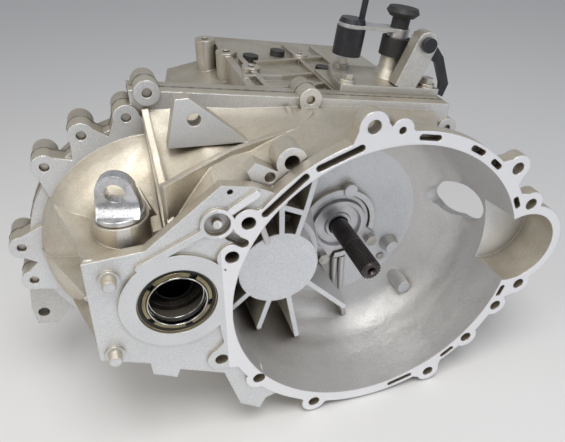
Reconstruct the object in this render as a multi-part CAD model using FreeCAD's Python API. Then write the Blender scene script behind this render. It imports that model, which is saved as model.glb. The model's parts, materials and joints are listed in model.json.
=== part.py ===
"""Front-wheel-drive manual gearbox: clutch housing, gear case, shift tower, and the gear train inside.

Units are millimetres.  The origin is on the input-shaft axis, in the machined face that meets the engine.
+Y runs from the engine into the gearbox, +Z is up and +X is to the right, seen from the engine.
"""
import FreeCAD, Part
import math
import os

from FreeCAD import Vector

# ---------------------------------------------------------------- driving sizes
# clutch bell
BELL_R = 155.0            # inside radius at the engine face
BELL_FLOOR_R = 100.0      # inside radius where the bowl meets its floor
BELL_DEPTH = 121.0        # engine face to bowl floor
BELL_WALL = 6.5
RIM_R = BELL_R + 13.0     # outside radius of the bolting rim
RIM_T = 14.0
FLOOR_T = 7.0
# the three parallel axes, as (x, z)
INPUT = (0.0, 0.0)
OUTPUT = (-97.5, 15.5)
DIFF = (-204.0, 30.0)
# joint between clutch housing and gear case
JOINT_Y = 130.0
JOINT_T = 14.0            # thickness of each casting's joint flange
JOINT_EDGE = 9.0          # flange outside the casting wall
CASE_WALL = 7.0
REAR_WALL_T = 22.0        # the rear wall, which holds the rear bearings
COVER_T = 14.0            # rear cover
# the roof of the gear chamber leans with the shift tower
ROOF_LEAN = 9.0           # degrees about Y
ROOF_AT = (-26.0, 150.0)  # a point of the outside of the roof, as (x, z)
# room for the wheels
DIFF_ROOM = 118.0         # outside radius of the casting round the final drive
OUTPUT_ROOM = 90.0        # the same round the output shaft
INPUT_ROOM = 74.0         # the same round the input shaft
# shafts
SPLINE_R = 11.2
SPLINE_TEETH = 20
SHAFT_TIP_Y = 22.6
SPLINE_LEN = 46.0
INPUT_R = 14.5
OUTPUT_R = 18.0
RUN = 0.05                # radial running clearance
FIT = 0.03                # radial clearance of parts pressed or slid together
SEAT_GAP = 0.2            # end clearance between parts that only stand beside each other
# gears
GEAR_SUM = 55             # teeth of the two wheels of a pair, added up
GEAR_W = 13.0
BACKLASH = 0.8            # thinning of each tooth at the pitch circle
ADDENDUM = 0.8            # in modules
DEDENDUM = 1.1
FLANK_LEAN = 22.0         # degrees, of the straight flanks
FINAL_TEETH = (14, 58)
FINAL_W = 26.0
INPUT_TEETH = {"first": 12, "second": 18, "third": 23, "fourth": 28, "fifth": 31}
REVERSE_TEETH = (12, 20, 38)   # on the input shaft, idler, on the output shaft
# synchronisers
SLEEVE_W = 14.0
SHIFT_TRAVEL = 8.0
SLEEVE_R = 48.0
HUB_R = 36.0
GROOVE_R = 42.0
GROOVE_W = 6.0
# drive-shaft seals
SEAL_R = 36.5
SEAL_LIP_R = 27.0
SEAL_W = 9.0
# fasteners
BOLT_R = 4.0
BOLT_HEAD_R = 6.5
BOLT_HEAD_H = 7.0
DOWEL_HOLE_R = 6.5
DOWEL_RADIUS = RIM_R - 0.7    # of the two dowel holes about the input axis
DOWEL_ANGLE = 155.5
# shift tower, on the roof
TOWER_AT = (78.0, 180.0)  # x and y of the shift shaft where it passes the roof
SHIFT_SHAFT_R = 7.5
RAIL_R = 5.0
RAIL_PITCH = 14.0         # between rails, along the roof
RAIL_REACH = {"34": 81.0, "12": 95.0, "5r": 109.0}   # from the shift shaft to each rail, along the roof
RAIL_DROP = 36.0          # from the tower's seat down to the rails
GATE_STEP = {"34": 0.0, "12": 9.0, "5r": -9.0}       # height of each gate from the neutral one
SELECT_TRAVEL = 9.0

RIM_HOLES = {             # name: (angle about the input axis, radius, hole radius)
    "top": (98.0, 178.0, 6.5),
    "top_small": (89.2, 169.5, 3.5),
    "right_top": (39.7, 174.7, 6.5),
    "pocket_top": (22.0, 175.4, 6.5),
    "pocket_bottom": (-13.7, 181.7, 6.5),
    "right_low": (-42.4, 164.6, 6.5),
    "bottom_right": (-63.2, 173.0, 6.5),
    "bottom_left": (-113.7, 169.3, 6.5),
    "left_low": (-144.4, 161.6, 6.5),
    "left": (-162.4, 177.3, 6.5),
    "left_top": (143.1, 170.0, 6.5),
}
RIM_SLOTS = {             # name: (start angle, end angle, radius, width) of the lightening slots
    "top": (82.0, 76.0, 162.0, 6.0),
    "right_a": (61.0, 56.5, 162.0, 6.0),
    "right_b": (50.0, 46.5, 161.5, 6.0),
    "right_c": (28.0, 24.5, 160.5, 6.0),
    "low_a": (-15.5, -19.0, 161.0, 6.0),
    "low_b": (-50.0, -54.5, 162.0, 6.0),
    "low_c": (-71.0, -80.0, 161.5, 6.0),
    "upper_left_a": (138.0, 121.5, 162.5, 7.0),
    "upper_left_b": (116.5, 102.5, 162.0, 7.0),
}
JOINT_EARS = (-168.0, 174.5, 135.0, 115.5, 97.0)   # angles about the differential axis
JOINT_EAR_RADIUS = 135.5
JOINT_EAR_R = 12.0
JOINT_EAR_HOLE_R = 4.5


RAIL_FRONT = (110.0, 141.0)    # the lug on the clutch housing that holds the rails


# ---------------------------------------------------------------- small makers
def polar(angle, radius, centre=(0.0, 0.0)):
    """The point (x, z) at an angle in degrees and a radius about a centre."""
    a = math.radians(angle)
    return (centre[0] + radius * math.cos(a), centre[1] + radius * math.sin(a))


def wire(outline, y):
    """A closed wire in the plane y.  A point is (x, z); a pair of points is an arc through the first."""
    start = outline[0]
    here = Vector(start[0], y, start[1])
    first = here
    edges = []
    for step in outline[1:]:
        if isinstance(step[0], tuple):
            mid = Vector(step[0][0], y, step[0][1])
            end = Vector(step[1][0], y, step[1][1])
            edges.append(Part.Arc(here, mid, end).toShape())
        else:
            end = Vector(step[0], y, step[1])
            edges.append(Part.LineSegment(here, end).toShape())
        here = end
    if here.distanceToPoint(first) > 1e-6:
        edges.append(Part.LineSegment(here, first).toShape())
    return Part.Wire(edges)


def prism(outline, y0, y1):
    return Part.Face(wire(outline, y0)).extrude(Vector(0, y1 - y0, 0))


def taper(outline0, y0, outline1, y1):
    """A ruled solid between two outlines of as many points each."""
    return Part.makeLoft([wire(outline0, y0), wire(outline1, y1)], True, True)


def disc(centre, radius, y0, y1):
    return Part.makeCylinder(radius, y1 - y0, Vector(centre[0], y0, centre[1]), Vector(0, 1, 0))


def ring(centre, outer, inner, y0, y1):
    return disc(centre, outer, y0, y1).cut(disc(centre, inner, y0 - 1, y1 + 1))


def cone(centre, r0, r1, y0, y1):
    base = Vector(centre[0], y0, centre[1])
    return Part.makeCone(r0, r1, y1 - y0, base, Vector(0, 1, 0))


def turned(centre, profile):
    """A solid of revolution about the line through centre along Y.  Profile points are (radius, y)."""
    here = Vector(profile[0][0], profile[0][1], 0)
    first = here
    edges = []
    for step in profile[1:]:
        if isinstance(step[0], tuple):
            mid = Vector(step[0][0], step[0][1], 0)
            end = Vector(step[1][0], step[1][1], 0)
            edges.append(Part.Arc(here, mid, end).toShape())
        else:
            end = Vector(step[0], step[1], 0)
            edges.append(Part.LineSegment(here, end).toShape())
        here = end
    edges.append(Part.LineSegment(here, first).toShape())
    solid = Part.Face(Part.Wire(edges)).revolve(Vector(0, 0, 0), Vector(0, 1, 0), 360)
    return solid.translated(Vector(centre[0], 0, centre[1]))


def stadium(p, q, width):
    """Outline of a slot from centre p to centre q."""
    length = math.dist(p, q)
    ux, uz = (q[0] - p[0]) / length, (q[1] - p[1]) / length
    h = width / 2
    side = (-uz * h, ux * h)
    tip = (ux * h, uz * h)
    return [
        (p[0] + side[0], p[1] + side[1]),
        ((p[0] - tip[0], p[1] - tip[1]), (p[0] - side[0], p[1] - side[1])),
        (q[0] - side[0], q[1] - side[1]),
        ((q[0] + tip[0], q[1] + tip[1]), (q[0] + side[0], q[1] + side[1])),
    ]


def web(start, angle, profile, thickness):
    """A flat rib that leaves start at an angle in the XZ plane.  Profile points are (distance, y)."""
    a = math.radians(angle)
    along = Vector(math.cos(a), 0, math.sin(a))
    side = Vector(-math.sin(a), 0, math.cos(a)) * thickness
    base = Vector(start[0], 0, start[1]) - side * 0.5
    points = [base + along * s + Vector(0, y, 0) for s, y in profile]
    return Part.Face(Part.makePolygon(points + points[:1])).extrude(side)


def ridge(points, foot, thickness):
    """A rib along points (x, z, y of its crest), down to the plane y = foot."""
    walls = []
    for (x0, z0, y0), (x1, z1, y1) in zip(points, points[1:]):
        angle = math.degrees(math.atan2(z1 - z0, x1 - x0))
        length = math.dist((x0, z0), (x1, z1))
        walls.append(web((x0, z0), angle, [(0, y0), (length, y1), (length, foot), (0, foot)], thickness))
    for x, z, y in points[1:-1]:
        walls.append(disc((x, z), thickness / 2, y, foot))
    return walls


def fence(points, low, thickness):
    """An upright rib along points (x, y, z of its top), down to the level low."""
    walls = []
    for (x0, y0, z0), (x1, y1, z1) in zip(points, points[1:]):
        length = math.dist((x0, y0), (x1, y1))
        side = Vector(y0 - y1, x1 - x0, 0) * (thickness / length)
        corners = [Vector(x0, y0, low), Vector(x0, y0, z0), Vector(x1, y1, z1), Vector(x1, y1, low)]
        points_here = [c - side * 0.5 for c in corners]
        walls.append(Part.Face(Part.makePolygon(points_here + points_here[:1])).extrude(side))
    for x, y, z in points[1:-1]:
        walls.append(Part.makeCylinder(thickness / 2, z - low, Vector(x, y, low)))
    return walls


def neck(p, q, half_p, half_q, y0, y1):
    """A bar between two points that is wider at one end, to fair a lug into its casting."""
    length = math.dist(p, q)
    sx, sz = -(q[1] - p[1]) / length, (q[0] - p[0]) / length
    return prism([
        (p[0] + sx * half_p, p[1] + sz * half_p), (q[0] + sx * half_q, q[1] + sz * half_q),
        (q[0] - sx * half_q, q[1] - sz * half_q), (p[0] - sx * half_p, p[1] - sz * half_p),
    ], y0, y1)


def fuse(shapes):
    shapes = list(shapes)
    return shapes[0].fuse(shapes[1:]).removeSplitter() if len(shapes) > 1 else shapes[0]


def grow(body, tools):
    """Add tools one after another."""
    for tool in tools:
        body = body.fuse(tool)
    return body


def carve(body, tools):
    """Cut tools away one after another."""
    for tool in tools:
        body = body.cut(tool)
    return body


# ---------------------------------------------------------------- gears
def pitch_radii(teeth_a, teeth_b, distance):
    module = 2 * distance / (teeth_a + teeth_b)
    return module, module * teeth_a / 2, module * teeth_b / 2


def gear(centre, teeth, module, y0, y1, phase=0.0):
    """A spur wheel with straight-sided teeth, thinned by the backlash; phase is in degrees."""
    pitch = module * teeth / 2
    tip, root = pitch + ADDENDUM * module, pitch - DEDENDUM * module
    flank = math.tan(math.radians(FLANK_LEAN))
    outline = []
    for i in range(teeth):
        mid = 360.0 * i / teeth + phase
        for sign, radii in ((-1, (root, tip)), (1, (tip, root))):
            for r in radii:
                half = math.pi * module / 4 - BACKLASH / 2 - (r - pitch) * flank
                outline.append(polar(mid + sign * math.degrees(half / r), r, centre))
    return prism(outline, y0, y1)


def mesh_phase(centre_a, centre_b, teeth_a, teeth_b, phase_a=0.0):
    """The phase of wheel b that puts its tooth space on a tooth of wheel a, on the line of centres."""
    line = math.degrees(math.atan2(centre_b[1] - centre_a[1], centre_b[0] - centre_a[0]))
    lead = (line - phase_a) * teeth_a / 360.0
    return line + 180.0 + (lead + 0.5) * 360.0 / teeth_b


# ---------------------------------------------------------------- shared outlines
def roof_z(x):
    return ROOF_AT[1] - (x - ROOF_AT[0]) * math.tan(math.radians(ROOF_LEAN))


ROOF_LEFT = -206.0
ROOF_RIGHT = 116.0
ROOF_SIDE_Z = 62.0


def chamber(inset, y0, y1, left=ROOF_LEFT):
    """The room of the gear train, as seen along the shafts, drawn in by an inset."""
    x0, x1 = left + inset, ROOF_RIGHT - inset
    roof = [
        (x0, OUTPUT[1]),
        (x0, roof_z(x0) - inset),
        (x1, roof_z(x1) - inset),
        (x1, ROOF_SIDE_Z + inset),
        (INPUT[0] + 0.7 * INPUT_ROOM - inset, INPUT[1]),
        (OUTPUT[0], OUTPUT[1]),
    ]
    return [
        disc(OUTPUT, OUTPUT_ROOM - inset, y0, y1),
        disc(INPUT, INPUT_ROOM - inset, y0, y1),
        prism(roof, y0, y1),
    ]


def joint_outline(inset, y0, y1):
    saddle = [
        (DIFF[0], DIFF[1] - DIFF_ROOM + inset),
        (INPUT[0], INPUT[1] - INPUT_ROOM + inset),
        (INPUT[0], INPUT[1]),
        (DIFF[0], DIFF[1]),
    ]
    return chamber(inset, y0, y1) + [disc(DIFF, DIFF_ROOM - inset, y0, y1), prism(saddle, y0, y1)]


def joint_bolts():
    """Where the joint bolts stand, as (x, z)."""
    ears = [polar(a, JOINT_EAR_RADIUS, DIFF) for a in JOINT_EARS]
    ears.append((-199.0, roof_z(-199.0) + 8.0))
    ears.append((-40.0, roof_z(-40.0) + 8.0))
    ears.append((ROOF_RIGHT + 8.0, roof_z(ROOF_RIGHT) - 20.0))
    ears.append((INPUT[0] + 62.0, INPUT[1] - 62.0))
    ears.append((DIFF[0] + 66.0, DIFF[1] - DIFF_ROOM - 4.0))
    return ears


def ear_necks(y0, y1):
    """Bars that fair the ears of the joint on the dome into it."""
    necks = []
    for angle in JOINT_EARS:
        necks.append(neck(
            polar(angle, JOINT_EAR_RADIUS, DIFF), polar(angle, DIFF_ROOM - 4, DIFF), JOINT_EAR_R,
            24.0, y0, y1
        ))
    return necks


def post(x, y, radius, z0, z1):
    """An upright cylinder."""
    return Part.makeCylinder(radius, z1 - z0, Vector(x, y, z0), Vector(0, 0, 1))


# ---------------------------------------------------------------- clutch housing
BOWL = (                  # the bowl's wall: inside the bell radius by, and share of the depth
    (4.0, 0.41), (12.0, 0.66), (29.0, 0.86),
)


def bowl(radius_add, depth_add, front):
    """The bowl of the bell, or its outer skin with the wall's thickness added."""
    profile = [(0, front), (BELL_R + radius_add, front), (BELL_R + radius_add, RIM_T)]
    for less, share in BOWL:
        profile.append((BELL_R - less + radius_add, share * BELL_DEPTH + 0.4 * depth_add * share))
    depth = BELL_DEPTH + depth_add
    return turned(
        INPUT,
        profile + [(BELL_FLOOR_R + radius_add, 0.97 * depth), (0.6 * BELL_FLOOR_R, depth), (0, depth)]
    )


def bell_inside():
    return bowl(0, 0, -1)


def bell_outside():
    return bowl(BELL_WALL, FLOOR_T, 0)


POCKET = (162.0, 10.0)    # centre of the starter-motor pocket
POCKET_R = 43.0
POCKET_DEPTH = 46.0
BOSS_Y = 38.0             # front of the boss over the output-shaft bearing
BOSS_R = 42.0
PLATE_T = 11.0
PLATE = [
    (-277.0, 88.0), (-225.0, 90.0), (-157.0, 141.0), (-128.0, 135.0), (-100.0, 120.0), (-110.0, -100.0),
    (-110.0, -127.0), (-124.0, -131.0), (-131.0, -145.0), (-152.0, -130.0), (-167.0, -77.0),
    (-210.0, -57.0), (-214.0, -67.0), (-236.0, -55.0), (-237.0, -40.0), (-280.0, -22.0),
]


PLATE_Y = 3.0             # the plate's face stands back this much from the engine face
PLATE_BARS = (((-232.0, 75.0), (-176.0, 99.5)), ((-150.0, 117.0), (-128.0, 129.0)))
PLATE_POCKET = (-163.0, 106.0)
PLATE_STUDS = ((-258.0, 69.0), (-266.0, -16.0))
STUD_R = 5.0


def rim():
    """The bolting rim of the bell, with its lugs, and the plate round the differential."""
    spots = [(a, r, hole + 7.5) for a, r, hole in RIM_HOLES.values()]
    spots += [(DOWEL_ANGLE + turn, DOWEL_RADIUS, DOWEL_HOLE_R + 7.0) for turn in (0.0, 180.0)]
    lugs = []
    for angle, radius, size in spots:
        lugs.append(disc(polar(angle, radius), size, 0, RIM_T))
        lugs.append(neck(polar(angle, radius), polar(angle, RIM_R - 7), size, size + 10, 0, RIM_T))
    pocket = disc(POCKET, POCKET_R + 10.0, 0, RIM_T)
    plate = [prism(PLATE, PLATE_Y, PLATE_Y + PLATE_T), disc(DIFF, SEAL_R + 6, 0, PLATE_T)]
    plate += [prism(stadium(p, q, 7.0), 0, PLATE_T) for p, q in PLATE_BARS]
    plate.append(disc(PLATE_POCKET, 15.0, 0, PLATE_T + PLATE_Y))
    plate += [disc(p, STUD_R + 4, 0, PLATE_T) for p in PLATE_STUDS]
    return fuse([disc(INPUT, RIM_R, 0, RIM_T), pocket] + plate + lugs)


def plate_cuts():
    """Pockets and holes in the plate."""
    cuts = [
        ring(PLATE_POCKET, 11.5, 4.0, -1, 6),
        prism(stadium((-152.0, 90.0), (-141.0, 82.0), 9.0), -1, 9)
    ]
    cuts += [disc(p, STUD_R + FIT, -1, PLATE_T + PLATE_Y + 1) for p in PLATE_STUDS]
    cuts.append(disc((-150.0, 134.0), 2.6, -1, 9))
    return cuts


def dome(inset):
    """The casting round the final drive, wide at the joint and narrow at the drive-shaft seal."""
    r = DIFF_ROOM - inset
    front = 52.0 if inset else 0.0
    neck = [(0, front), (0.44 * DIFF_ROOM - inset, front)]
    if not inset:
        neck.append((0.44 * DIFF_ROOM, 44.0))
    return turned(DIFF, neck + [
        (0.56 * DIFF_ROOM - inset, 58.0 + inset), (0.84 * DIFF_ROOM - inset, 82.0 + inset),
        (0.965 * r, 102.0 + inset), (r, 118.0), (r, JOINT_Y), (0, JOINT_Y),
    ])


def saddle(inset):
    """The slope between the bell and the roof of the gear chamber."""
    x0, x1 = ROOF_LEFT + inset, ROOF_RIGHT - inset
    front = [(x0, 40.0), (x0, 88.0 - inset), (-158.0, 126.0 - inset), (-118.0, 122.0 - inset),
             (-40.0, 152.0 - inset), (20.0, 158.0 - inset), (52.0, 138.0 - inset), (52.0, 40.0)]
    back = [(x0, 40.0), (x0, roof_z(x0) - inset), (-158.0, roof_z(-158.0) - inset),
            (-118.0, roof_z(-118.0) - inset), (-40.0, roof_z(-40.0) - inset),
            (20.0, roof_z(20.0) - inset), (x1, roof_z(x1) - inset), (x1, ROOF_SIDE_Z)]
    y0 = 12.0 + inset
    return taper(front, y0, back, JOINT_Y)


EYE_BOSS = (-240.0, 45.0)     # x and y of the upright boss under the lifting eye
EYE_BOSS_R = 25.0
EYE_BOSS_TOP = 104.0
PADS = (                  # (outline, front, back, hole centre, hole radius) of the bracket pads on the slope
    (
        ((-190.0, 150.0), (-180.0, 194.0), (-168.0, 194.0), (-141.0, 169.0), (-117.0, 146.0)), 66.0,
        80.0, (-165.0, 174.0), 6.0
    ),
    (
        ((-132.0, 143.0), (-124.0, 151.0), (-96.0, 134.0), (-94.0, 118.0), (-118.0, 112.0)), 15.0,
        30.0, (-112.0, 135.0), 5.0
    ),
)
SLOPE_BOSS = (-92.0, 146.0)


def outside_ribs():
    """Stiffening ribs and bosses on the outside of the dome and the slope."""
    top = []
    for angle, reach in ((208.0, 84.0), (232.0, 80.0)):
        top.append(web(DIFF, angle, [(30, 6), (reach, 8), (DIFF_ROOM - 2, 112), (60, 112)], 5.0))
    top += ridge([(-236.0, 62.0, 6.0), (-278.0, 50.0, 6.0), (-322.0, 36.0, 114.0)], 118.0, 5.5)
    top += ridge([(-236.0, 80.0, 6.0), (-273.0, 87.0, 6.0), (-303.0, 90.0, 112.0)], 118.0, 5.5)
    top.append(web(
        (-196.0, 40.0), 93.0, [(10, 8), (58, 8), (131, 112), (131, JOINT_Y), (10, JOINT_Y)], 6.0
    ))
    top.append(web((-212.0, 62.0), 118.0, [(0, 60), (34, 52), (76, 104), (76, 116), (0, 116)], 34.0))
    top.append(post(*EYE_BOSS, EYE_BOSS_R, 40.0, EYE_BOSS_TOP))
    top += fence(
        [(-203.0, 22.0, 139.0), (-138.0, 58.0, 145.0), (-64.0, 79.0, 150.0), (-44.0, 100.0, 154.0)],
        84.0, 6.0
    )
    top += fence([(-200.0, 38.0, 108.0), (-141.0, 58.0, 128.0), (-112.0, 66.0, 136.0)], 80.0, 6.0)
    for outline, front, back, _, _ in PADS:
        top.append(prism(list(outline), front, back))
    top.append(disc(SLOPE_BOSS, 14.0, 15.0, 40.0))
    bars = ((-74.0, 66.0), (-30.0, 60.0))
    for x, low in bars:
        height = roof_z(x) - low
        top.append(web((x, low), 84.0, [(8, 30), (0.72 * height, 30), (height, 112), (8, 112)], 5.0))
    return top


def boss_ribs():
    """The boss of the output bearing, its skirt, and the ribs that tie it to the bell."""
    back = BELL_DEPTH + 3
    skirt = cone(OUTPUT, 50.0, 78.0, 60.0, back).common(
        Part.makeBox(190, 200, 300, Vector(OUTPUT[0] - 140, 0, OUTPUT[1] - 150)))
    parts = [cone(OUTPUT, BOSS_R, BOSS_R + 6, BOSS_Y, BELL_DEPTH + 1), skirt]
    paths = (
        [(-106.0, -18.0, BOSS_Y), (-120.0, -59.0, BOSS_Y), (-109.0, -104.0, 78.0)],
        [(-88.0, -18.0, BOSS_Y), (-77.0, -83.0, BOSS_Y), (-62.0, -128.0, 78.0)],
        [(-68.0, -8.0, BOSS_Y), (-22.0, -56.0, BOSS_Y), (-2.0, -98.0, 82.0), (8.0, -128.0, 96.0)],
        [(-128.0, -8.0, BOSS_Y), (-152.0, -28.0, BOSS_Y)],
        [(-94.0, 48.0, BOSS_Y), (-94.0, 90.0, BOSS_Y), (-101.0, 112.0, 8.0), (-108.0, 126.0, 8.0)],
        [(-80.0, 46.0, BOSS_Y), (-68.0, 85.0, BOSS_Y), (-61.0, 112.0, BOSS_Y), (-72.0, 134.0, 8.0)],
        [(-94.0, 88.0, BOSS_Y), (-70.0, 76.0, BOSS_Y)],
        [(-108.0, 48.0, BOSS_Y), (-120.0, 86.0, 18.0), (-126.0, 100.0, 10.0)],
    )
    for path in paths:
        parts += ridge(path, back, 5.5)
    return parts


RETAINER_EYES = ((44.0, -30.0), (-18.0, -44.0))
# x, z and height of the tapped pads in the bowl
FLOOR_DOMES = (
    (71.0, -42.0, 16.0), (82.0, -92.0, 37.0)
)


def retainer_pads():
    """Tapped pads round the input shaft and on the bowl floor, and the ribs below the shaft."""
    pads = [ring(INPUT, 47.5, 40.5, BELL_DEPTH - 7.0, BELL_DEPTH + 1)]
    gaps = []
    for p in RETAINER_EYES:
        share = 43.0 / math.dist(INPUT, p)
        gaps += [disc(p, 10.0, 0, BELL_DEPTH), disc((p[0] * share, p[1] * share), 13.5, 0, BELL_DEPTH)]
    pads = [carve(pads[0], gaps)]
    pads.append(disc(polar(75.0, 47.0), 8.0, BELL_DEPTH - 9.0, BELL_DEPTH + 1))
    for x, z, height in FLOOR_DOMES:
        pads.append(cone((x, z), 8.0, 13.0, BELL_DEPTH - height, BELL_DEPTH + 3))
    for x in (-1.0, 9.0):
        pads.append(Part.makeCylinder(4.5, 56, Vector(x, BELL_DEPTH - 1, -50), Vector(0, 0, -1)))
    return pads


WINDOW_ANGLE = 12.0      # of the starter window in the side of the bell
WINDOW_Y = 80.0
WINDOW_R = 24.0
WINDOW_HALF = 6.0
INPUT_BEARING = (26.0, BELL_DEPTH + 2.0, BELL_DEPTH + 17.0)     # outside radius, front, back
OUTPUT_BEARING = (31.0, 66.0, 82.0)
DIFF_BEARING = (38.0, 30.0, 48.0)


def clutch_housing():
    body = fuse([
        rim(), bell_outside(), disc(POCKET, POCKET_R + 6.0, 0, POCKET_DEPTH + 6.0), dome(0),
        saddle(0)
    ])
    body = grow(body, outside_ribs())
    flange = fuse(joint_outline(-JOINT_EDGE, JOINT_Y - JOINT_T, JOINT_Y)
                  + [disc(p, JOINT_EAR_R, JOINT_Y - JOINT_T - 4, JOINT_Y) for p in joint_bolts()] + ear_necks(JOINT_Y - JOINT_T - 4, JOINT_Y))
    body = body.fuse(flange)
    # hollow behind: the gear chamber, outside the bell
    room = fuse([dome(CASE_WALL), saddle(CASE_WALL)]).cut(bell_outside())
    body = body.cut(room)
    body = body.cut(fuse(joint_outline(CASE_WALL, BELL_DEPTH + FLOOR_T, JOINT_Y + 1)))
    # hollow in front: the bowl, less what stands in it
    bearing_boss = disc(INPUT, INPUT_BEARING[0] + 8, BELL_DEPTH, INPUT_BEARING[2])
    hollow = carve(bell_inside(), boss_ribs() + retainer_pads())
    hollow = hollow.fuse(disc(POCKET, POCKET_R, -1, POCKET_DEPTH))
    rail_bosses = [rail_boss(RAIL_FRONT[0], JOINT_Y, 26), rail_boss(JOINT_Y - 2, RAIL_FRONT[1], 12)]
    body = body.cut(hollow).fuse([bearing_boss] + rail_bosses)
    # bearing seats and seal bore
    cuts = [
        disc(INPUT, INPUT_BEARING[0], INPUT_BEARING[1], INPUT_BEARING[2] + 1),
        disc(INPUT, INPUT_BEARING[0] - 6, BELL_DEPTH - 2, INPUT_BEARING[1] + 1),
        disc(OUTPUT, OUTPUT_BEARING[0], OUTPUT_BEARING[1], BELL_DEPTH + FLOOR_T + 1),
        disc(DIFF, SEAL_R + FIT, -1, 4 + SEAL_W),
        disc(DIFF, DIFF_BEARING[0] - 5, 4, DIFF_BEARING[1] + 1),
        disc(DIFF, DIFF_BEARING[0], DIFF_BEARING[1], 60),
    ]
    cuts += plate_cuts()
    cuts.append(post(*EYE_BOSS, EYE_R + FIT, EYE_BOSS_TOP - 18, EYE_BOSS_TOP + 1))
    cuts += [disc(hole, radius, front - 1, back + 1) for _, front, back, hole, radius in PADS]
    cuts.append(disc(SLOPE_BOSS, 7.0, 14.0, 37.0))
    cuts += [disc(p, BOLT_R, BELL_DEPTH - 2, BELL_DEPTH + FLOOR_T - 1.5) for p in RETAINER_EYES]
    # holes through the rim
    for angle, radius, hole in RIM_HOLES.values():
        cuts.append(disc(polar(angle, radius), hole, -1, RIM_T + 30))
    for turn in (0.0, 180.0):
        cuts.append(disc(polar(DOWEL_ANGLE + turn, DOWEL_RADIUS), DOWEL_HOLE_R, -1, RIM_T + 6))
    for start, end, radius, width in RIM_SLOTS.values():
        cuts.append(prism(stadium(polar(start, radius), polar(end, radius), width), -1, RIM_T - 4))
    for spot in joint_bolts():
        cuts.append(disc(spot, JOINT_EAR_HOLE_R, JOINT_Y - JOINT_T - 8, JOINT_Y + 1))
    for rail in RAIL_REACH:
        cuts.append(disc(rail_at(rail), RAIL_R + RUN, RAIL_FRONT[0] + 5, RAIL_FRONT[1] + 1))
    # window in the side of the bell, where the starter pinion reaches the flywheel
    a = math.radians(WINDOW_ANGLE)
    out = Vector(math.cos(a), 0, math.sin(a))
    for y in (WINDOW_Y - WINDOW_HALF, WINDOW_Y + WINDOW_HALF):
        cuts.append(Part.makeCylinder(WINDOW_R, 110, Vector(0, y, 0) + out * 95, out))
    return carve(body, cuts)


# ---------------------------------------------------------------- where the wheels stand
def line_up():
    """Front and back of each wheel and sleeve along the output shaft."""
    clear = SHIFT_TRAVEL + 1.0
    order = (("final", FINAL_W, 5.0), ("fourth", GEAR_W, clear), ("34", SLEEVE_W, clear), ("third", GEAR_W, 4.0),
             ("second", GEAR_W, clear), ("12", SLEEVE_W, clear), ("first", GEAR_W, 4.0), ("reverse", GEAR_W, clear),
             ("5r", SLEEVE_W, clear), ("fifth", GEAR_W, 0.0))
    spans = {}
    y = JOINT_Y + 2.0
    for name, width, gap in order:
        spans[name] = (y, y + width)
        y += width + gap
    return spans


SPANS = line_up()
REAR_WALL_Y = SPANS["fifth"][1] + 5.0      # inside face of the rear wall
CASE_END_Y = REAR_WALL_Y + REAR_WALL_T


# ---------------------------------------------------------------- gear case
WALL_LEFT = -92.0         # left wall of the selector box, on the roof side
REAR_BEARING = (26.0, REAR_WALL_Y + 2.0, REAR_WALL_Y + 18.0)
DIFF_REAR_BEARING = (38.0, 166.0, 184.0)
DIFF_REAR_SEAL_Y = 196.0
MOUNT_POSTS = ((-88.0, 282.0), (-104.0, 334.0))   # x and y of the tapped mounting posts
POST_R = 13.0
TOWER_OPENING = (74.0, 44.0)      # across and along the gearbox
TOWER_PAD = 9.0           # the tower's seat stands this much above the roof


def place_on_roof(shape, lift=0.0):
    """Move a shape made about the shift shaft, with +Z off the roof, to its place."""
    x, y = TOWER_AT
    foot = Vector(x, y, roof_z(x) + TOWER_PAD + lift)
    shape = shape.copy()
    shape.rotate(Vector(0, 0, 0), Vector(0, 1, 0), ROOF_LEAN)
    shape.translate(foot)
    return shape


def case_room(inset, y0, y1):
    """The part of the gear case round the shafts and the selector box."""
    shoulder = [(WALL_LEFT - 84 + inset, 40.0), (WALL_LEFT - 60 + inset, 122.0 - inset),
                (WALL_LEFT + 10, 134.0 - inset), (WALL_LEFT + 10, 40.0)]
    return chamber(inset, y0, y1, WALL_LEFT) + [prism(shoulder, y0, y1)]


def rear_dome(inset):
    r = DIFF_ROOM - inset
    neck = 0.41 * DIFF_ROOM - inset
    back = DIFF_REAR_BEARING[1] if inset else DIFF_REAR_SEAL_Y + SEAL_W
    return turned(DIFF, [
        (0, JOINT_Y), (r, JOINT_Y), (r, 158.0 - inset), (0.9 * r, 170.0 - inset),
        (max(neck, 40.0), 190.0 - 2 * inset), (max(neck, 40.0), back), (0, back),
    ])


def on_roof(x, z):
    """The (x, z) place of a point given off the shift shaft along the roof and above the tower's seat."""
    a = math.radians(ROOF_LEAN)
    foot = roof_z(TOWER_AT[0]) + TOWER_PAD
    return (TOWER_AT[0] + x * math.cos(a) + z * math.sin(a), foot - x * math.sin(a) + z * math.cos(a))


def rail_at(rail):
    return on_roof(-RAIL_REACH[rail], -RAIL_DROP)


def rail_boss(y0, y1, rise):
    """The lug that holds one end of the three rails; rise is its height over the rails."""
    left, right = RAIL_REACH["5r"] + 11, RAIL_REACH["34"] - 11
    up, down = -RAIL_DROP + rise, -RAIL_DROP - 12
    return prism(
        [on_roof(-left, down), on_roof(-left, up), on_roof(-right, up), on_roof(-right, down)], y0,
        y1
    )


ROOF_RIBS = (             # (x, y) paths of the low ribs across the roof
    ((-93.0, 152.0), (-40.0, 160.0), (-2.0, 178.0)),
    ((-90.0, 191.0), (-44.0, 198.0), (-2.0, 213.0)),
    ((-62.0, 246.0), (-20.0, 262.0), (38.0, 290.0)),
    ((-76.0, 258.0), (-72.0, 156.0)),
)
ROOF_BOSSES = ((-76.0, 214.0), (6.0, 284.0), (-26.0, 165.0))


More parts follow.
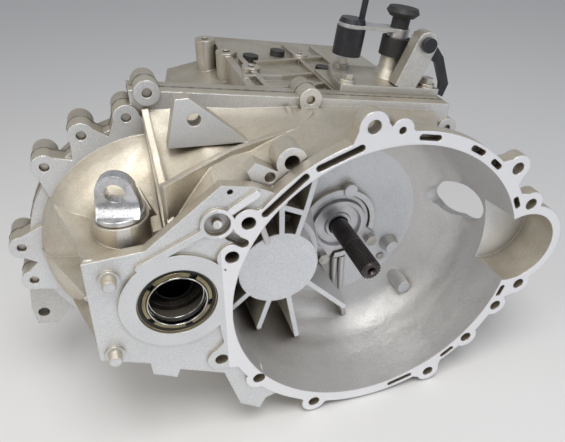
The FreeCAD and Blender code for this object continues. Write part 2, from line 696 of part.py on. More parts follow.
def roof_boss(x, y, radius, height):
    """A round boss square to the roof."""
    a = math.radians(ROOF_LEAN)
    away = Vector(math.sin(a), 0, math.cos(a))
    return Part.makeCylinder(radius, height + 12, Vector(x, y, roof_z(x)) - away * 12, away)


def case_ribs():
    ribs = []
    for angle in (120.0, 160.0, 200.0, 240.0, 275.0):
        ribs.append(web(
            DIFF, angle,
            [(40, 150), (DIFF_ROOM - 1, 150), (DIFF_ROOM - 1, 160), (52, 196), (40, 196)], 6.0
        ))
    back = REAR_WALL_Y - 10
    for x in (0.0, 40.0):
        z = roof_z(x)
        ribs.append(web((x, z - 20), 81.0, [(0, 146), (25, 146), (25, back), (0, back + 12)], 5.0))
    for path in ROOF_RIBS:
        ribs += fence([(x, y, roof_z(x) + 6.0) for x, y in path], 110.0, 6.0)
    for angle in (-150.0, -115.0, -80.0):
        ribs.append(web(
            OUTPUT, angle,
            [(60, 146), (OUTPUT_ROOM + 8, 146), (OUTPUT_ROOM, CASE_END_Y - 30), (60, CASE_END_Y - 30)],
            6.0
        ))
    ribs.append(web(
        (WALL_LEFT + 4, 60.0), 90.0,
        [(20, 146), (roof_z(WALL_LEFT) - 58, 146), (roof_z(WALL_LEFT) - 58, back), (20, back)], 8.0
    ))
    return ribs


def cover_bolts():
    """Bolt places of the rear cover."""
    spots = [polar(a, OUTPUT_ROOM - 14, OUTPUT) for a in (100.0, 150.0, 200.0, 250.0, 290.0)]
    spots += [polar(a, INPUT_ROOM - 10, INPUT) for a in (-70.0, -20.0, 30.0, 80.0)]
    return spots


PLUG_R = 9.0
DRAIN_AT = (OUTPUT[0], 236.0)            # x and y of the drain plug, under the case
DRAIN_FACE = OUTPUT[1] - OUTPUT_ROOM - 5.0
FILL_AT = (-27.0, 214.0)                 # angle about the input axis, and y, of the filler plug
SWITCH_AT = (296.0, 92.0)                # y and z of the reversing-light switch


def disc_on_z(at, radius, z0, z1):
    return post(at[0], at[1], radius, z0, z1)


def fill_point(radius):
    x, z = polar(FILL_AT[0], radius)
    return Vector(x, FILL_AT[1], z)


def fill_axis():
    x, z = polar(FILL_AT[0], 1.0)
    return Vector(x, 0, z)


def transmission_case():
    flange = joint_outline(-JOINT_EDGE, JOINT_Y, JOINT_Y + JOINT_T)
    ears = [disc(p, JOINT_EAR_R, JOINT_Y, JOINT_Y + JOINT_T + 6) for p in joint_bolts()]
    lug = prism([(-338.0, 40.0), (-352.0, -48.0), (-350.0, -72.0), (-330.0, -76.0), (-316.0, -62.0), (-292.0, -64.0),
                 (-270.0, -60.0), (-280.0, 20.0)], JOINT_Y + 2, JOINT_Y + 18)
    posts = []
    for x, y in MOUNT_POSTS:
        posts.append(post(x, y, POST_R, 70.0, roof_z(x) + 6.0))
        posts.append(Part.makeCone(POST_R + 12, POST_R, 60, Vector(x, y, 70.0), Vector(0, 0, 1)))
    pad = place_on_roof(Part.makeBox(123, 80, TOWER_PAD + 18, Vector(-76, -42, -TOWER_PAD - 18)))
    body = fuse(case_room(0, JOINT_Y, CASE_END_Y) + flange + ears + [rear_dome(0)])
    bosses = [roof_boss(x, y, 10.5, 9.0) for x, y in ROOF_BOSSES]
    bosses.append(disc_on_z(DRAIN_AT, 14.0, DRAIN_FACE, DRAIN_FACE + 14))
    bosses.append(Part.makeCylinder(15, 16, fill_point(INPUT_ROOM - 12), fill_axis()))
    bosses.append(Part.makeCylinder(
        14, 16, Vector(ROOF_RIGHT - 10, SWITCH_AT[0], SWITCH_AT[1]), Vector(1, 0, 0)
    ))
    body = grow(body, [lug, pad] + posts + case_ribs() + bosses)
    room = case_room(CASE_WALL, JOINT_Y - 1, REAR_WALL_Y)
    front = joint_outline(CASE_WALL, JOINT_Y - 1, JOINT_Y + JOINT_T - 3)
    body = carve(body, [fuse(room), fuse(front), rear_dome(CASE_WALL)])
    bearing_wall = ring(
        DIFF, DIFF_REAR_BEARING[0] + 7, DIFF_REAR_BEARING[0], DIFF_REAR_BEARING[1] - 1,
        DIFF_REAR_BEARING[2] + 6
    )
    idler_web = Part.makeBox(
        24, IDLER_WEB[1] - IDLER_WEB[0], 86, Vector(IDLER[0] + 4, IDLER_WEB[0], IDLER[1])
    )
    idler_boss = disc(IDLER, IDLER_SHAFT_R + 5, *IDLER_WEB)
    idler_web = idler_web.common(fuse(case_room(2.0, IDLER_WEB[0] - 1, IDLER_WEB[1] + 1)))
    body = body.fuse([
        bearing_wall, idler_web, idler_boss, rail_boss(REAR_WALL_Y - 10, REAR_WALL_Y + 1, 24)
    ])
    cuts = [
        disc(DIFF, DIFF_REAR_BEARING[0], DIFF_REAR_BEARING[1] - 2, DIFF_REAR_BEARING[2]),
        disc(DIFF, DIFF_REAR_BEARING[0] - 5, DIFF_REAR_BEARING[1], DIFF_REAR_SEAL_Y + 1),
        disc(DIFF, SEAL_R + FIT, DIFF_REAR_SEAL_Y, DIFF_REAR_SEAL_Y + SEAL_W + 2),
        disc(INPUT, REAR_BEARING[0], REAR_BEARING[1] - 3, REAR_BEARING[2]),
        disc(INPUT, REAR_BEARING[0] - 5, REAR_BEARING[1], CASE_END_Y + 1),
        disc(OUTPUT, REAR_BEARING[0] + 5, REAR_BEARING[1] - 3, REAR_BEARING[2]),
        disc(OUTPUT, REAR_BEARING[0], REAR_BEARING[1], CASE_END_Y + 1),
        disc((-341.0, -58.0), 6.0, JOINT_Y, JOINT_Y + 20),
        place_on_roof(Part.makeBox(
            TOWER_OPENING[0], TOWER_OPENING[1], 60,
            Vector(21 - TOWER_OPENING[0], -TOWER_OPENING[1] / 2, -50)
        )),
    ]
    for spot in joint_bolts():
        cuts.append(disc(spot, JOINT_EAR_HOLE_R, JOINT_Y - 1, JOINT_Y + JOINT_T + 8))
        cuts.append(disc(spot, BOLT_HEAD_R + 2.5, JOINT_Y + JOINT_T + 6, JOINT_Y + JOINT_T + 26))
    for spot in cover_bolts():
        cuts.append(disc(spot, BOLT_R, CASE_END_Y - 16, CASE_END_Y + 1))
    cuts.append(disc_on_z(DRAIN_AT, PLUG_R + FIT, DRAIN_FACE - 1, DRAIN_FACE + 24))
    cuts.append(Part.makeCylinder(PLUG_R + FIT, 40, fill_point(INPUT_ROOM - 20), fill_axis()))
    cuts.append(Part.makeCylinder(PLUG_R + FIT, 40, Vector(ROOF_RIGHT - 14, *SWITCH_AT), Vector(1, 0, 0)))
    for x, y in ROOF_BOSSES:
        cuts.append(roof_boss(x, y, 4.0, 10.0).common(roof_boss(x, y, 5.0, 10.0).translated(Vector(0, 0, 10))))
    for x, y in MOUNT_POSTS:
        cuts.append(post(x, y, 5.0, roof_z(x) - 18, roof_z(x) + 7))
    for x, y in tower_bolts():
        cuts.append(place_on_roof(post(x, y, BOLT_R, -20, 1)))
    for rail in RAIL_REACH:
        cuts.append(disc(rail_at(rail), RAIL_R + RUN, REAR_WALL_Y - 11, REAR_WALL_Y + 18))
    cuts.append(disc(IDLER, IDLER_SHAFT_R + FIT, IDLER_WEB[0] - 1, IDLER_WEB[1] + 1))
    return carve(body, cuts)


def rear_cover():
    """Cast cover over the shaft ends."""
    lid = fuse([disc(OUTPUT, OUTPUT_ROOM - 4, 0, 5), disc(INPUT, INPUT_ROOM, 0, 5),
                prism([(OUTPUT[0], 80.0), (INPUT[0], 60.0), (INPUT[0], -60.0), (OUTPUT[0], -60.0)], 0, 5)])
    caps = [cone(OUTPUT, 44, 38, 4, COVER_T), cone(INPUT, 38, 33, 4, COVER_T)]
    body = fuse([lid] + caps + [disc(p, 9.0, 0, 9.0) for p in cover_bolts()])
    hollow = [disc(OUTPUT, 34, -1, COVER_T - 5), disc(INPUT, 29, -1, COVER_T - 5)]
    body = body.cut(fuse(hollow + [disc(p, BOLT_R + 0.4, -1, 10) for p in cover_bolts()]))
    return body.translated(Vector(0, CASE_END_Y, 0))


# ---------------------------------------------------------------- shift tower
PLATE_HALF = (74.0, 38.0)     # reach of the tower's foot to the left and to the front
TOWER_FOOT_T = 8.0
TURRET_R = 13.0
TURRET_H = 42.0
ARM_AT = (2.0, -31.0)         # x and y of the cable arm, from the shift shaft
ARM_H = 52.0
ARM_LEAN = 16.0


def tower_bolts():
    return ((-66.0, -30.0), (-48.0, 28.0), (34.0, -30.0), (36.0, 26.0))


def shift_tower():
    """Cast turret that carries the shift shaft, with the arm for the select lever."""
    foot = Part.makePolygon([Vector(x, y, 0) for x, y in
                             ((-76, -40), (-76, -20), (-60, 36), (30, 36), (46, 20), (46, -40), (-76, -40))])
    plate = Part.Face(foot).extrude(Vector(0, 0, TOWER_FOOT_T))
    turret = Part.makeCylinder(TURRET_R, TURRET_H)
    base = Part.makeCone(TURRET_R + 9, TURRET_R, 20)
    arm = Part.makeBox(26, 16, ARM_H, Vector(-13, -8, 0))
    eye = Part.makeCylinder(13, 16, Vector(0, -8, ARM_H), Vector(0, 1, 0))
    bar = arm.fuse(eye)
    bar.rotate(Vector(0, 0, 0), Vector(0, 1, 0), ARM_LEAN)
    bar.translate(Vector(ARM_AT[0], ARM_AT[1], TOWER_FOOT_T - 2))
    pads = [Part.makeCylinder(9.5, TOWER_FOOT_T + 4, Vector(x, y, 0)) for x, y in tower_bolts()]
    spigot = Part.makeCylinder(19, 14, Vector(0, 0, -14))
    body = fuse([plate, turret, base, bar, spigot] + pads)
    cuts = [
        Part.makeCylinder(SHIFT_SHAFT_R + RUN, TURRET_H + 20, Vector(0, 0, -16)),
        select_axis(SELECT_PIN_R + RUN, -12, 12)
    ]
    cuts += [Part.makeCylinder(BOLT_R + 0.4, 30, Vector(x, y, -1)) for x, y in tower_bolts()]
    return place_on_roof(body.cut(fuse(cuts)))


SELECT_PIN_R = 4.0


def select_axis(radius, front, back):
    """A cylinder on the axis of the hole in the arm's eye, in the tower's own frame."""
    a = math.radians(ARM_LEAN)
    x = ARM_AT[0] + ARM_H * math.sin(a)
    z = TOWER_FOOT_T - 2 + ARM_H * math.cos(a)
    return Part.makeCylinder(radius, back - front, Vector(x, ARM_AT[1] + front, z), Vector(0, 1, 0))


# ---------------------------------------------------------------- centre distances
CENTRES = math.dist(INPUT, OUTPUT)
MODULE = 2 * CENTRES / GEAR_SUM
DOG_SIDE = {"first": -1, "second": 1, "third": -1, "fourth": 1, "fifth": -1, "reverse": 1}
DOG_LEN = SHIFT_TRAVEL - 1.0


def idler_place():
    """The idler's axis, from its centre distances to the input and output shafts."""
    a, b, c = REVERSE_TEETH
    near = MODULE * (a + b) / 2
    far = MODULE * (b + c) / 2
    along = (near ** 2 - far ** 2 + CENTRES ** 2) / (2 * CENTRES)
    up = math.sqrt(near ** 2 - along ** 2)
    ux, uz = (OUTPUT[0] - INPUT[0]) / CENTRES, (OUTPUT[1] - INPUT[1]) / CENTRES
    return (INPUT[0] + ux * along + uz * up, INPUT[1] + uz * along - ux * up)


IDLER = idler_place()
IDLER_SHAFT_R = 8.0
IDLER_WEB = (SPANS["reverse"][0] - 10, SPANS["reverse"][0] - 2)


# ---------------------------------------------------------------- input shaft
def spline(centre, outer, teeth, depth, y0, y1):
    outline = []
    for i in range(teeth):
        mid = 360.0 * i / teeth
        for turn, r in ((-0.30, outer - depth), (-0.22, outer), (0.22, outer), (0.30, outer - depth)):
            outline.append(polar(mid + turn * 360.0 / teeth, r, centre))
    return prism(outline, y0, y1)


def input_shaft():
    tip = SHAFT_TIP_Y
    neck = INPUT_BEARING[1]
    back = REAR_BEARING[1] - 1
    body = turned(INPUT, [
        (0, tip), (SPLINE_R - 2.6, tip), (SPLINE_R - 1.2, tip + 1.6), (SPLINE_R - 1.2, tip + SPLINE_LEN),
        (SPLINE_R, tip + SPLINE_LEN), (SPLINE_R, neck), (INPUT_R - 2, neck), (
            INPUT_R - 2, INPUT_BEARING[2]
        ),
        (INPUT_R + 2, INPUT_BEARING[2]), (
            INPUT_R + 2, INPUT_BEARING[2] + 4
        ), (INPUT_R, INPUT_BEARING[2] + 4),
        (INPUT_R, back), (INPUT_R - 2, back), (
            INPUT_R - 2, REAR_BEARING[2] + 1
        ), (0, REAR_BEARING[2] + 1),
    ])
    body = body.fuse([spline(INPUT, SPLINE_R, SPLINE_TEETH, 1.5, tip + 1.6, tip + SPLINE_LEN)])
    for name in ("first", "second"):
        body = body.fuse(gear(INPUT, INPUT_TEETH[name], MODULE, *SPANS[name]))
    body = body.fuse(gear(INPUT, REVERSE_TEETH[0], MODULE, *SPANS["reverse"]))
    centre_hole = turned(
        INPUT, [(0, tip - 1), (5.6, tip - 1), (2.6, tip + 4), (2.6, tip + 14), (0, tip + 15)]
    )
    return body.cut(centre_hole)


def input_gear(name):
    def make():
        wheel = gear(INPUT, INPUT_TEETH[name], MODULE, *SPANS[name])
        return wheel.cut(disc(INPUT, INPUT_R + FIT, SPANS[name][0] - 1, SPANS[name][1] + 1))
    return make


def input_retainer():
    """Ring plate that holds the input bearing, with two bolt eyes."""
    y = BELL_DEPTH
    plate = turned(INPUT, [
        (SPLINE_R + 1.2, y), (SPLINE_R + 1.2, y - 7), (SPLINE_R + 4.5, y - 7), (SPLINE_R + 6, y - 4), (26, y - 4),
        (28, y - 9), (33, y - 9), (35, y - 4), (39, y - 4), (39, y),
    ])
    eyes = []
    for p in RETAINER_EYES:
        share = 36.0 / math.dist(INPUT, p)
        eyes += [disc(p, 8.0, y - 4, y), neck(p, (p[0] * share, p[1] * share), 8.0, 12.0, y - 4, y)]
    return plate.fuse(eyes).cut(fuse([disc(p, BOLT_R + 0.4, y - 5, y + 1) for p in RETAINER_EYES]))


def bearing(centre, bore, outer, y0, y1, toward):
    """A taper bearing: its cup and its cone with rollers.  The wide end of the cone is toward +Y or -Y."""
    mid = (bore + outer) / 2
    lean = 2.5 * toward
    cup = turned(centre, [(mid - lean, y0), (outer - FIT, y0), (outer - FIT, y1), (mid + lean, y1)])
    inner = turned(
        centre, [(bore + FIT, y0), (mid - lean - RUN, y0), (mid + lean - RUN, y1), (bore + FIT, y1)]
    )
    return cup, inner


def bearings(which):
    """Cups or cones of the pair of bearings of each shaft."""
    places = {
        "input": (INPUT, INPUT_R - 2, (INPUT_BEARING, REAR_BEARING)),
        "output": (
            OUTPUT, OUTPUT_R - 3,
            (OUTPUT_BEARING, (REAR_BEARING[0] + 5, REAR_BEARING[1], REAR_BEARING[2]))
        ),
        "diff": (DIFF, DIFF_JOURNAL_R, (DIFF_BEARING, DIFF_REAR_BEARING)),
    }
    centre, bore, (front, back) = places[which]
    first = bearing(centre, bore, *front, 1)
    second = bearing(centre, bore, *back, -1)
    return first, second


def cups(which):
    return lambda: Part.makeCompound([pair[0] for pair in bearings(which)])


def cones(which):
    return lambda: Part.makeCompound([pair[1] for pair in bearings(which)])


# ---------------------------------------------------------------- output shaft and its wheels
def output_shaft():
    front = OUTPUT_BEARING[1] + SEAT_GAP
    back = REAR_BEARING[1] - 1
    neck = OUTPUT_R - 3
    body = turned(OUTPUT, [
        (0, front), (neck, front), (neck, OUTPUT_BEARING[2]), (neck + 2, OUTPUT_BEARING[2]), (
            neck + 2, SPANS["final"][1] + 2
        ),
        (OUTPUT_R, SPANS["final"][1] + 2), (OUTPUT_R, back), (neck, back),
        (neck, REAR_BEARING[2] + 2), (0, REAR_BEARING[2] + 2),
    ])
    module, _, _ = pitch_radii(*FINAL_TEETH, math.dist(OUTPUT, DIFF))
    parts = [gear(OUTPUT, FINAL_TEETH[0], module, *SPANS["final"])]
    for a, b in (("third", "second"), ("first", "reverse")):
        parts.append(ring(
            OUTPUT, OUTPUT_R + 5, OUTPUT_R - 1, SPANS[a][1] + SEAT_GAP, SPANS[b][0] - SEAT_GAP
        ))
    parts.append(ring(OUTPUT, OUTPUT_R + 5, OUTPUT_R - 1, SPANS["fifth"][1] + SEAT_GAP, back))
    return body.fuse(parts)


def synchro_hubs():
    hubs = []
    for name in ("34", "12", "5r"):
        y0, y1 = SPANS[name]
        hubs.append(ring(OUTPUT, HUB_R, OUTPUT_R + FIT, y0, y1))
    return Part.makeCompound(hubs)


def synchro_rings():
    """Brass rings between each hub and the wheels beside it."""
    rings = []
    gap = 2.0
    for name in ("34", "12", "5r"):
        y0, y1 = SPANS[name]
        rings.append(ring(OUTPUT, HUB_R - 0.5, HUB_R - 8, y0 - gap + SEAT_GAP, y0 - SEAT_GAP))
        rings.append(ring(OUTPUT, HUB_R - 0.5, HUB_R - 8, y1 + SEAT_GAP, y1 + gap - SEAT_GAP))
    return Part.makeCompound(rings)


def sleeve(name):
    def make():
        y0, y1 = SPANS[name]
        mid = (y0 + y1) / 2
        h = GROOVE_W / 2
        bore = HUB_R + 2 * RUN
        return turned(OUTPUT, [
            (bore, y0), (SLEEVE_R, y0), (SLEEVE_R, mid - h), (GROOVE_R, mid - h), (GROOVE_R, mid + h),
            (SLEEVE_R, mid + h), (SLEEVE_R, y1), (bore, y1),
        ])
    return make


def speed_gear(name):
    """A wheel that turns on the output shaft, with its dog ring towards its sleeve."""
    def make():
        y0, y1 = SPANS[name]
        if name == "reverse":
            teeth = REVERSE_TEETH[2]
            phase = mesh_phase(IDLER, OUTPUT, REVERSE_TEETH[1], teeth, idler_phase())
        else:
            teeth = GEAR_SUM - INPUT_TEETH[name]
            phase = mesh_phase(INPUT, OUTPUT, INPUT_TEETH[name], teeth)
        wheel = gear(OUTPUT, teeth, MODULE, y0, y1, phase)
        if DOG_SIDE[name] > 0:
            dogs = disc(OUTPUT, HUB_R, y1, y1 + DOG_LEN)
        else:
            dogs = disc(OUTPUT, HUB_R, y0 - DOG_LEN, y0)
        return wheel.fuse(dogs).cut(disc(OUTPUT, OUTPUT_R + RUN, y0 - 20, y1 + 20))
    return make


def idler_phase():
    return mesh_phase(INPUT, IDLER, REVERSE_TEETH[0], REVERSE_TEETH[1])


def reverse_idler():
    y0, y1 = SPANS["reverse"]
    wheel = gear(IDLER, REVERSE_TEETH[1], MODULE, y0, y1, idler_phase())
    return wheel.cut(disc(IDLER, IDLER_SHAFT_R + RUN, y0 - 1, y1 + 1))


def idler_shaft():
    pin = disc(IDLER, IDLER_SHAFT_R, IDLER_WEB[0] - 3, SPANS["reverse"][1] + 1)
    return pin.fuse(disc(
        IDLER, IDLER_SHAFT_R + 3, SPANS["reverse"][1] + SEAT_GAP, SPANS["reverse"][1] + 2.2
    ))


# ---------------------------------------------------------------- differential
DIFF_JOURNAL_R = 22.5
CROSS_Y = 97.0            # centre of the differential's bevel wheels
CROSS_R = 7.0
SIDE_R = 26.0             # pitch radii of the bevel wheels at their wide ends
SPIDER_R = 16.2
BEVEL_W = 9.0
BEVEL_GAP = 0.5
HUB_BORE_R = 13.0
RING_SEAT_R = 60.0
RING_BOLT_RADIUS = 67.0
FLANGE_T = 6.0


def differential_case():
    y0, y1 = SPANS["final"]
    body = turned(DIFF, [
        (17.0 + RUN, DIFF_BEARING[1] - 2), (
            DIFF_JOURNAL_R, DIFF_BEARING[1] - 2
        ), (DIFF_JOURNAL_R, DIFF_BEARING[2] + 1),
        (30, DIFF_BEARING[2] + 6), (46, CROSS_Y - 30), (46, y0 - FLANGE_T), (74, y0 - FLANGE_T), (74, y0),
        (RING_SEAT_R, y0),
        (RING_SEAT_R, y1), (52, y1), (36, y1 + 3), (DIFF_JOURNAL_R, y1 + 5), (
            DIFF_JOURNAL_R, DIFF_REAR_BEARING[2] + 1
        ),
        (17.0 + RUN, DIFF_REAR_BEARING[2] + 1),
    ])
    hollow = disc(DIFF, 33.0, CROSS_Y - 19, CROSS_Y + 19)
    windows = Part.makeBox(120, 44, 40, Vector(DIFF[0] - 60, CROSS_Y - 22, DIFF[1] - 20))
    pin_hole = Part.makeCylinder(
        CROSS_R + FIT, 110, Vector(DIFF[0], CROSS_Y, DIFF[1] - 55), Vector(0, 0, 1)
    )
    rear_hollow = turned(
        DIFF, [(17, CROSS_Y + 30), (38, CROSS_Y + 34), (44, y1 - 10), (24, y1 - 2), (17, y1)]
    )
    bolt_holes = [disc(
        polar(a, RING_BOLT_RADIUS, DIFF), BOLT_R + FIT, y0 - 20, y0 + 1
    ) for a in range(0, 360, 45)]
    return carve(body, [hollow, windows, pin_hole, rear_hollow] + bolt_holes)


def ring_gear():
    y0, y1 = SPANS["final"]
    module, _, _ = pitch_radii(*FINAL_TEETH, math.dist(OUTPUT, DIFF))
    phase = mesh_phase(OUTPUT, DIFF, *FINAL_TEETH)
    wheel = gear(DIFF, FINAL_TEETH[1], module, y0, y1, phase)
    holes = [disc(
        polar(a, RING_BOLT_RADIUS, DIFF), BOLT_R + FIT, y0 - 1, y0 + 14
    ) for a in range(0, 360, 45)]
    return carve(wheel, [disc(DIFF, RING_SEAT_R + FIT, y0 - 1, y1 + 1)] + holes)


def hexagon(centre, across, y0, y1):
    return prism([polar(60 * i, across / math.sqrt(3), centre) for i in range(6)], y0, y1)


def bolt(centre, head_y, tip_y, shank=BOLT_R):
    """A hexagon bolt along Y: its head starts at head_y and its shank ends at tip_y."""
    away = 1 if head_y > tip_y else -1
    ys = sorted((head_y, head_y + away * BOLT_HEAD_H))
    shank_ys = sorted((head_y, tip_y))
    return hexagon(centre, 2 * BOLT_HEAD_R, *ys).fuse(disc(centre, shank, *shank_ys))


def ring_gear_bolts():
    y0, _ = SPANS["final"]
    return Part.makeCompound([bolt(
        polar(a, RING_BOLT_RADIUS, DIFF), y0 - FLANGE_T, y0 + 12
    ) for a in range(0, 360, 45)])


def cross_pin():
    return Part.makeCylinder(CROSS_R, 90, Vector(DIFF[0], CROSS_Y, DIFF[1] - 45), Vector(0, 0, 1))


def bevel(apex, axis, wide_r, reach, bore):
    """A bevel wheel blank whose cone points at apex; reach is from apex to the wide end, along axis."""
    share = 1 - BEVEL_W / math.hypot(wide_r, reach)
    near = reach * share
    body = Part.makeCone(
        wide_r * share - BEVEL_GAP, wide_r - BEVEL_GAP, reach - near, apex + axis * near, axis
    )
    return body.cut(Part.makeCylinder(bore, 80, apex, axis))


def side_gear(turn):
    """A bevel wheel on the end of a drive shaft; turn is -1 at the front and +1 at the rear."""
    def make():
        apex = Vector(DIFF[0], CROSS_Y, DIFF[1])
        axis = Vector(0, turn, 0)
        reach = SPIDER_R + 1.5
        wheel = bevel(apex, axis, SIDE_R, reach, HUB_BORE_R)
        far = DIFF_REAR_BEARING[2] - 2 if turn > 0 else DIFF_BEARING[1] + 20
        ends = sorted((CROSS_Y + turn * reach, far))
        return wheel.fuse(ring(DIFF, 17.0, HUB_BORE_R, *ends))
    return make


def spider_gear(turn):
    """A bevel wheel on the cross pin; turn is +1 above and -1 below."""
    def make():
        apex = Vector(DIFF[0], CROSS_Y, DIFF[1])
        return bevel(apex, Vector(0, 0, turn), SPIDER_R, SIDE_R + 1.5, CROSS_R + RUN)
    return make


def drive_seal(y0, toward):
    """Drive-shaft seal: a pressed steel ring and a rubber lip, open towards the shaft."""
    def make():
        y1 = y0 + SEAL_W
        out_y, in_y = (y0, y1) if toward < 0 else (y1, y0)
        step = -toward
        return turned(DIFF, [
            (SEAL_R, out_y + step), (SEAL_R, in_y), (SEAL_LIP_R + 3, in_y), (
                SEAL_LIP_R, in_y - 2.5 * step
            ),
            (SEAL_LIP_R + 1.5, out_y + 2.5 * step), (SEAL_R - 5, out_y + 2.5 * step), (SEAL_R - 4, out_y),
            (SEAL_R - 1, out_y),
        ])
    return make


# ---------------------------------------------------------------- forks and shift mechanism
def fork(name):
    """A shift fork with its rail and gate; the three slide together."""
    def make():
        y0, y1 = SPANS[name]
        mid = (y0 + y1) / 2
        half = GROOVE_W / 2 - 0.4
        rail = rail_at(name)
        aim = math.degrees(math.atan2(rail[1] - OUTPUT[1], rail[0] - OUTPUT[0]))
        reach = math.dist(rail, OUTPUT)
        claw = ring(OUTPUT, SLEEVE_R + 9, GROOVE_R + 0.5, mid - half, mid + half)
        gap = prism([OUTPUT, polar(aim + 95, 200, OUTPUT), polar(aim + 180, 200, OUTPUT), polar(aim - 95, 200, OUTPUT)],
                    mid - 20, mid + 20)
        arm = web(OUTPUT, aim, [
            (SLEEVE_R + 2, mid - half), (reach, mid - half), (reach, mid + half),
            (SLEEVE_R + 2, mid + half)
        ], 11.0)
        hub = disc(rail, RAIL_R + 3.2, mid - 5.5, mid + 5.5)
        bar = disc(rail, RAIL_R, RAIL_FRONT[1] - 12, REAR_WALL_Y + 9)
        return fuse([claw.cut(gap), arm, hub, bar, gate(name)])
    return make


GATE_AT = -19.0           # y of the gates from the shift shaft
GATE_HALF = 9.0           # half length of a gate along the rail
GATE_T = 5.0
FINGER_R = 4.5
FINGER_X = 67.5           # from the shift shaft to the finger's tip, across the rails
FINGER_H = 7.6


def gate(name):
    """The slotted plate that joins a rail to the finger, in its own layer."""
    z = GATE_STEP[name] - RAIL_DROP
    x0 = -RAIL_REACH[name]
    x1 = 7.5 - FINGER_X
    y0 = GATE_AT - GATE_HALF
    slot_w = 2 * FINGER_R + 0.8
    plate = Part.makeBox(x1 - x0, 2 * GATE_HALF, GATE_T, Vector(x0, y0, z - GATE_T / 2))
    slot = Part.makeBox(17, slot_w, 30, Vector(x1 - 16, GATE_AT - slot_w / 2, z - 15))
    low, high = sorted((z, -RAIL_DROP))
    riser = Part.makeBox(8, 12, high - low + GATE_T, Vector(x0 - 4, GATE_AT - 6, low - GATE_T / 2))
    return place_on_roof(plate.cut(slot).fuse(riser))


def shift_shaft():
    """The shaft that drops through the tower, with the finger that moves the gates."""
    bottom = -RAIL_DROP - SELECT_TRAVEL - 8
    shaft = Part.makeCylinder(SHIFT_SHAFT_R, LEVER_Z + 10 - bottom, Vector(0, 0, bottom))
    boss = Part.makeCylinder(13, 16, Vector(0, 0, -RAIL_DROP - 8))
    elbow = FINGER_X - 13.5
    arm = Part.makeBox(math.hypot(elbow, GATE_AT), 8, FINGER_H, Vector(0, -4, -RAIL_DROP - FINGER_H / 2))
    arm.rotate(Vector(0, 0, 0), Vector(0, 0, 1), 180 + math.degrees(math.atan2(-GATE_AT, elbow)))
    nose = Part.makeBox(13.5, 6, FINGER_H, Vector(-FINGER_X, GATE_AT - 3, -RAIL_DROP - FINGER_H / 2))
    knee = Part.makeCylinder(4, FINGER_H, Vector(-elbow, GATE_AT, -RAIL_DROP - FINGER_H / 2))
    tip = Part.makeCylinder(FINGER_R, FINGER_H, Vector(-FINGER_X, GATE_AT, -RAIL_DROP - FINGER_H / 2))
    return place_on_roof(fuse([shaft, boss, arm, nose, knee, tip]))


LEVER_Z = 53.0            # underside of the shift lever's hub, above the tower's seat
LEVER_HUB_R = 12.0
LEVER_HUB_H = 10.0
WEIGHT_AT = (-56.0, 4.0)


def shift_lever():
    """Pressed lever on the shift shaft, out to its counterweight."""
    hub = Part.makeCylinder(LEVER_HUB_R, LEVER_HUB_H, Vector(0, 0, LEVER_Z))
    x, y = WEIGHT_AT
    strip = Part.makeBox(-x, 22, 4, Vector(x, -11 + y / 2, LEVER_Z + LEVER_HUB_H - 4))
    end = Part.makeCylinder(15, 4, Vector(x, y, LEVER_Z + LEVER_HUB_H - 4))
    body = fuse([hub, strip, end])
    return place_on_roof(body.cut(Part.makeCylinder(SHIFT_SHAFT_R + FIT, 30, Vector(0, 0, LEVER_Z - 1))))


def lever_weight():
    """Black counterweight drum with its upright cable pin."""
    x, y = WEIGHT_AT
    top = LEVER_Z + LEVER_HUB_H
    drum = Part.makeCylinder(16, 30, Vector(x, y, top - 4 - 30))
    cap = Part.makeCone(15, 13, 5, Vector(x, y, top))
    pin = Part.makeCylinder(3.4, 26, Vector(x + 8, y - 4, top + 4))
    return place_on_roof(Part.makeCompound([drum, cap.fuse(pin)]))


def lever_damper():
    """Rubber-faced vibration damper on top of the shift shaft."""
    top = LEVER_Z + LEVER_HUB_H
    stem = Part.makeCylinder(10, 13, Vector(0, 0, top))
    head = Part.makeCone(14, 18.5, 5, Vector(0, 0, top + 12))
    crown = Part.makeCone(18.5, 16, 5, Vector(0, 0, top + 17))
    return place_on_roof(fuse([stem, head, crown]))


def dust_skirt():
    """Rubber skirt under the lever's hub, round the turret."""
    tube = Part.makeCylinder(TURRET_R + 3.5, 20, Vector(0, 0, LEVER_Z - 20))
    bore = Part.makeCylinder(TURRET_R + 0.4, 40, Vector(0, 0, LEVER_Z - 23))
    return place_on_roof(tube.cut(bore))


def select_lever():
    """Bent pressed lever that lifts and lowers the shift shaft."""
    a = math.radians(ARM_LEAN)
    px = ARM_AT[0] + ARM_H * math.sin(a)
    pz = TOWER_FOOT_T - 2 + ARM_H * math.cos(a)
    y0 = ARM_AT[1] + 8.6
    outline = [(px - 7, pz - 7), (px - 7, pz + 8), (px + 8, pz + 10), (px + 36, pz - 16), (px + 53, pz - 46),
               (px + 50, pz - 62), (px + 44, pz - 60), (px + 41, pz - 46), (px + 28, pz - 24), (px + 4, pz - 9)]
    points = [Vector(x, y0, z) for x, z in outline]
    plate = Part.Face(Part.makePolygon(points + points[:1])).extrude(Vector(0, 5, 0))
    pin = select_axis(SELECT_PIN_R, -14, 9)
    head = select_axis(SELECT_PIN_R + 4, -14, -8.6)
    return place_on_roof(fuse([plate, pin, head]))


# ---------------------------------------------------------------- fasteners and fittings
def joint_bolt_set():
    return Part.makeCompound([bolt(
        p, JOINT_Y + JOINT_T + 6, JOINT_Y - JOINT_T, BOLT_R + 0.3
    ) for p in joint_bolts()])


def cover_bolt_set():
    return Part.makeCompound([bolt(
        p, CASE_END_Y + 9, CASE_END_Y - 14, BOLT_R - FIT
    ) for p in cover_bolts()])


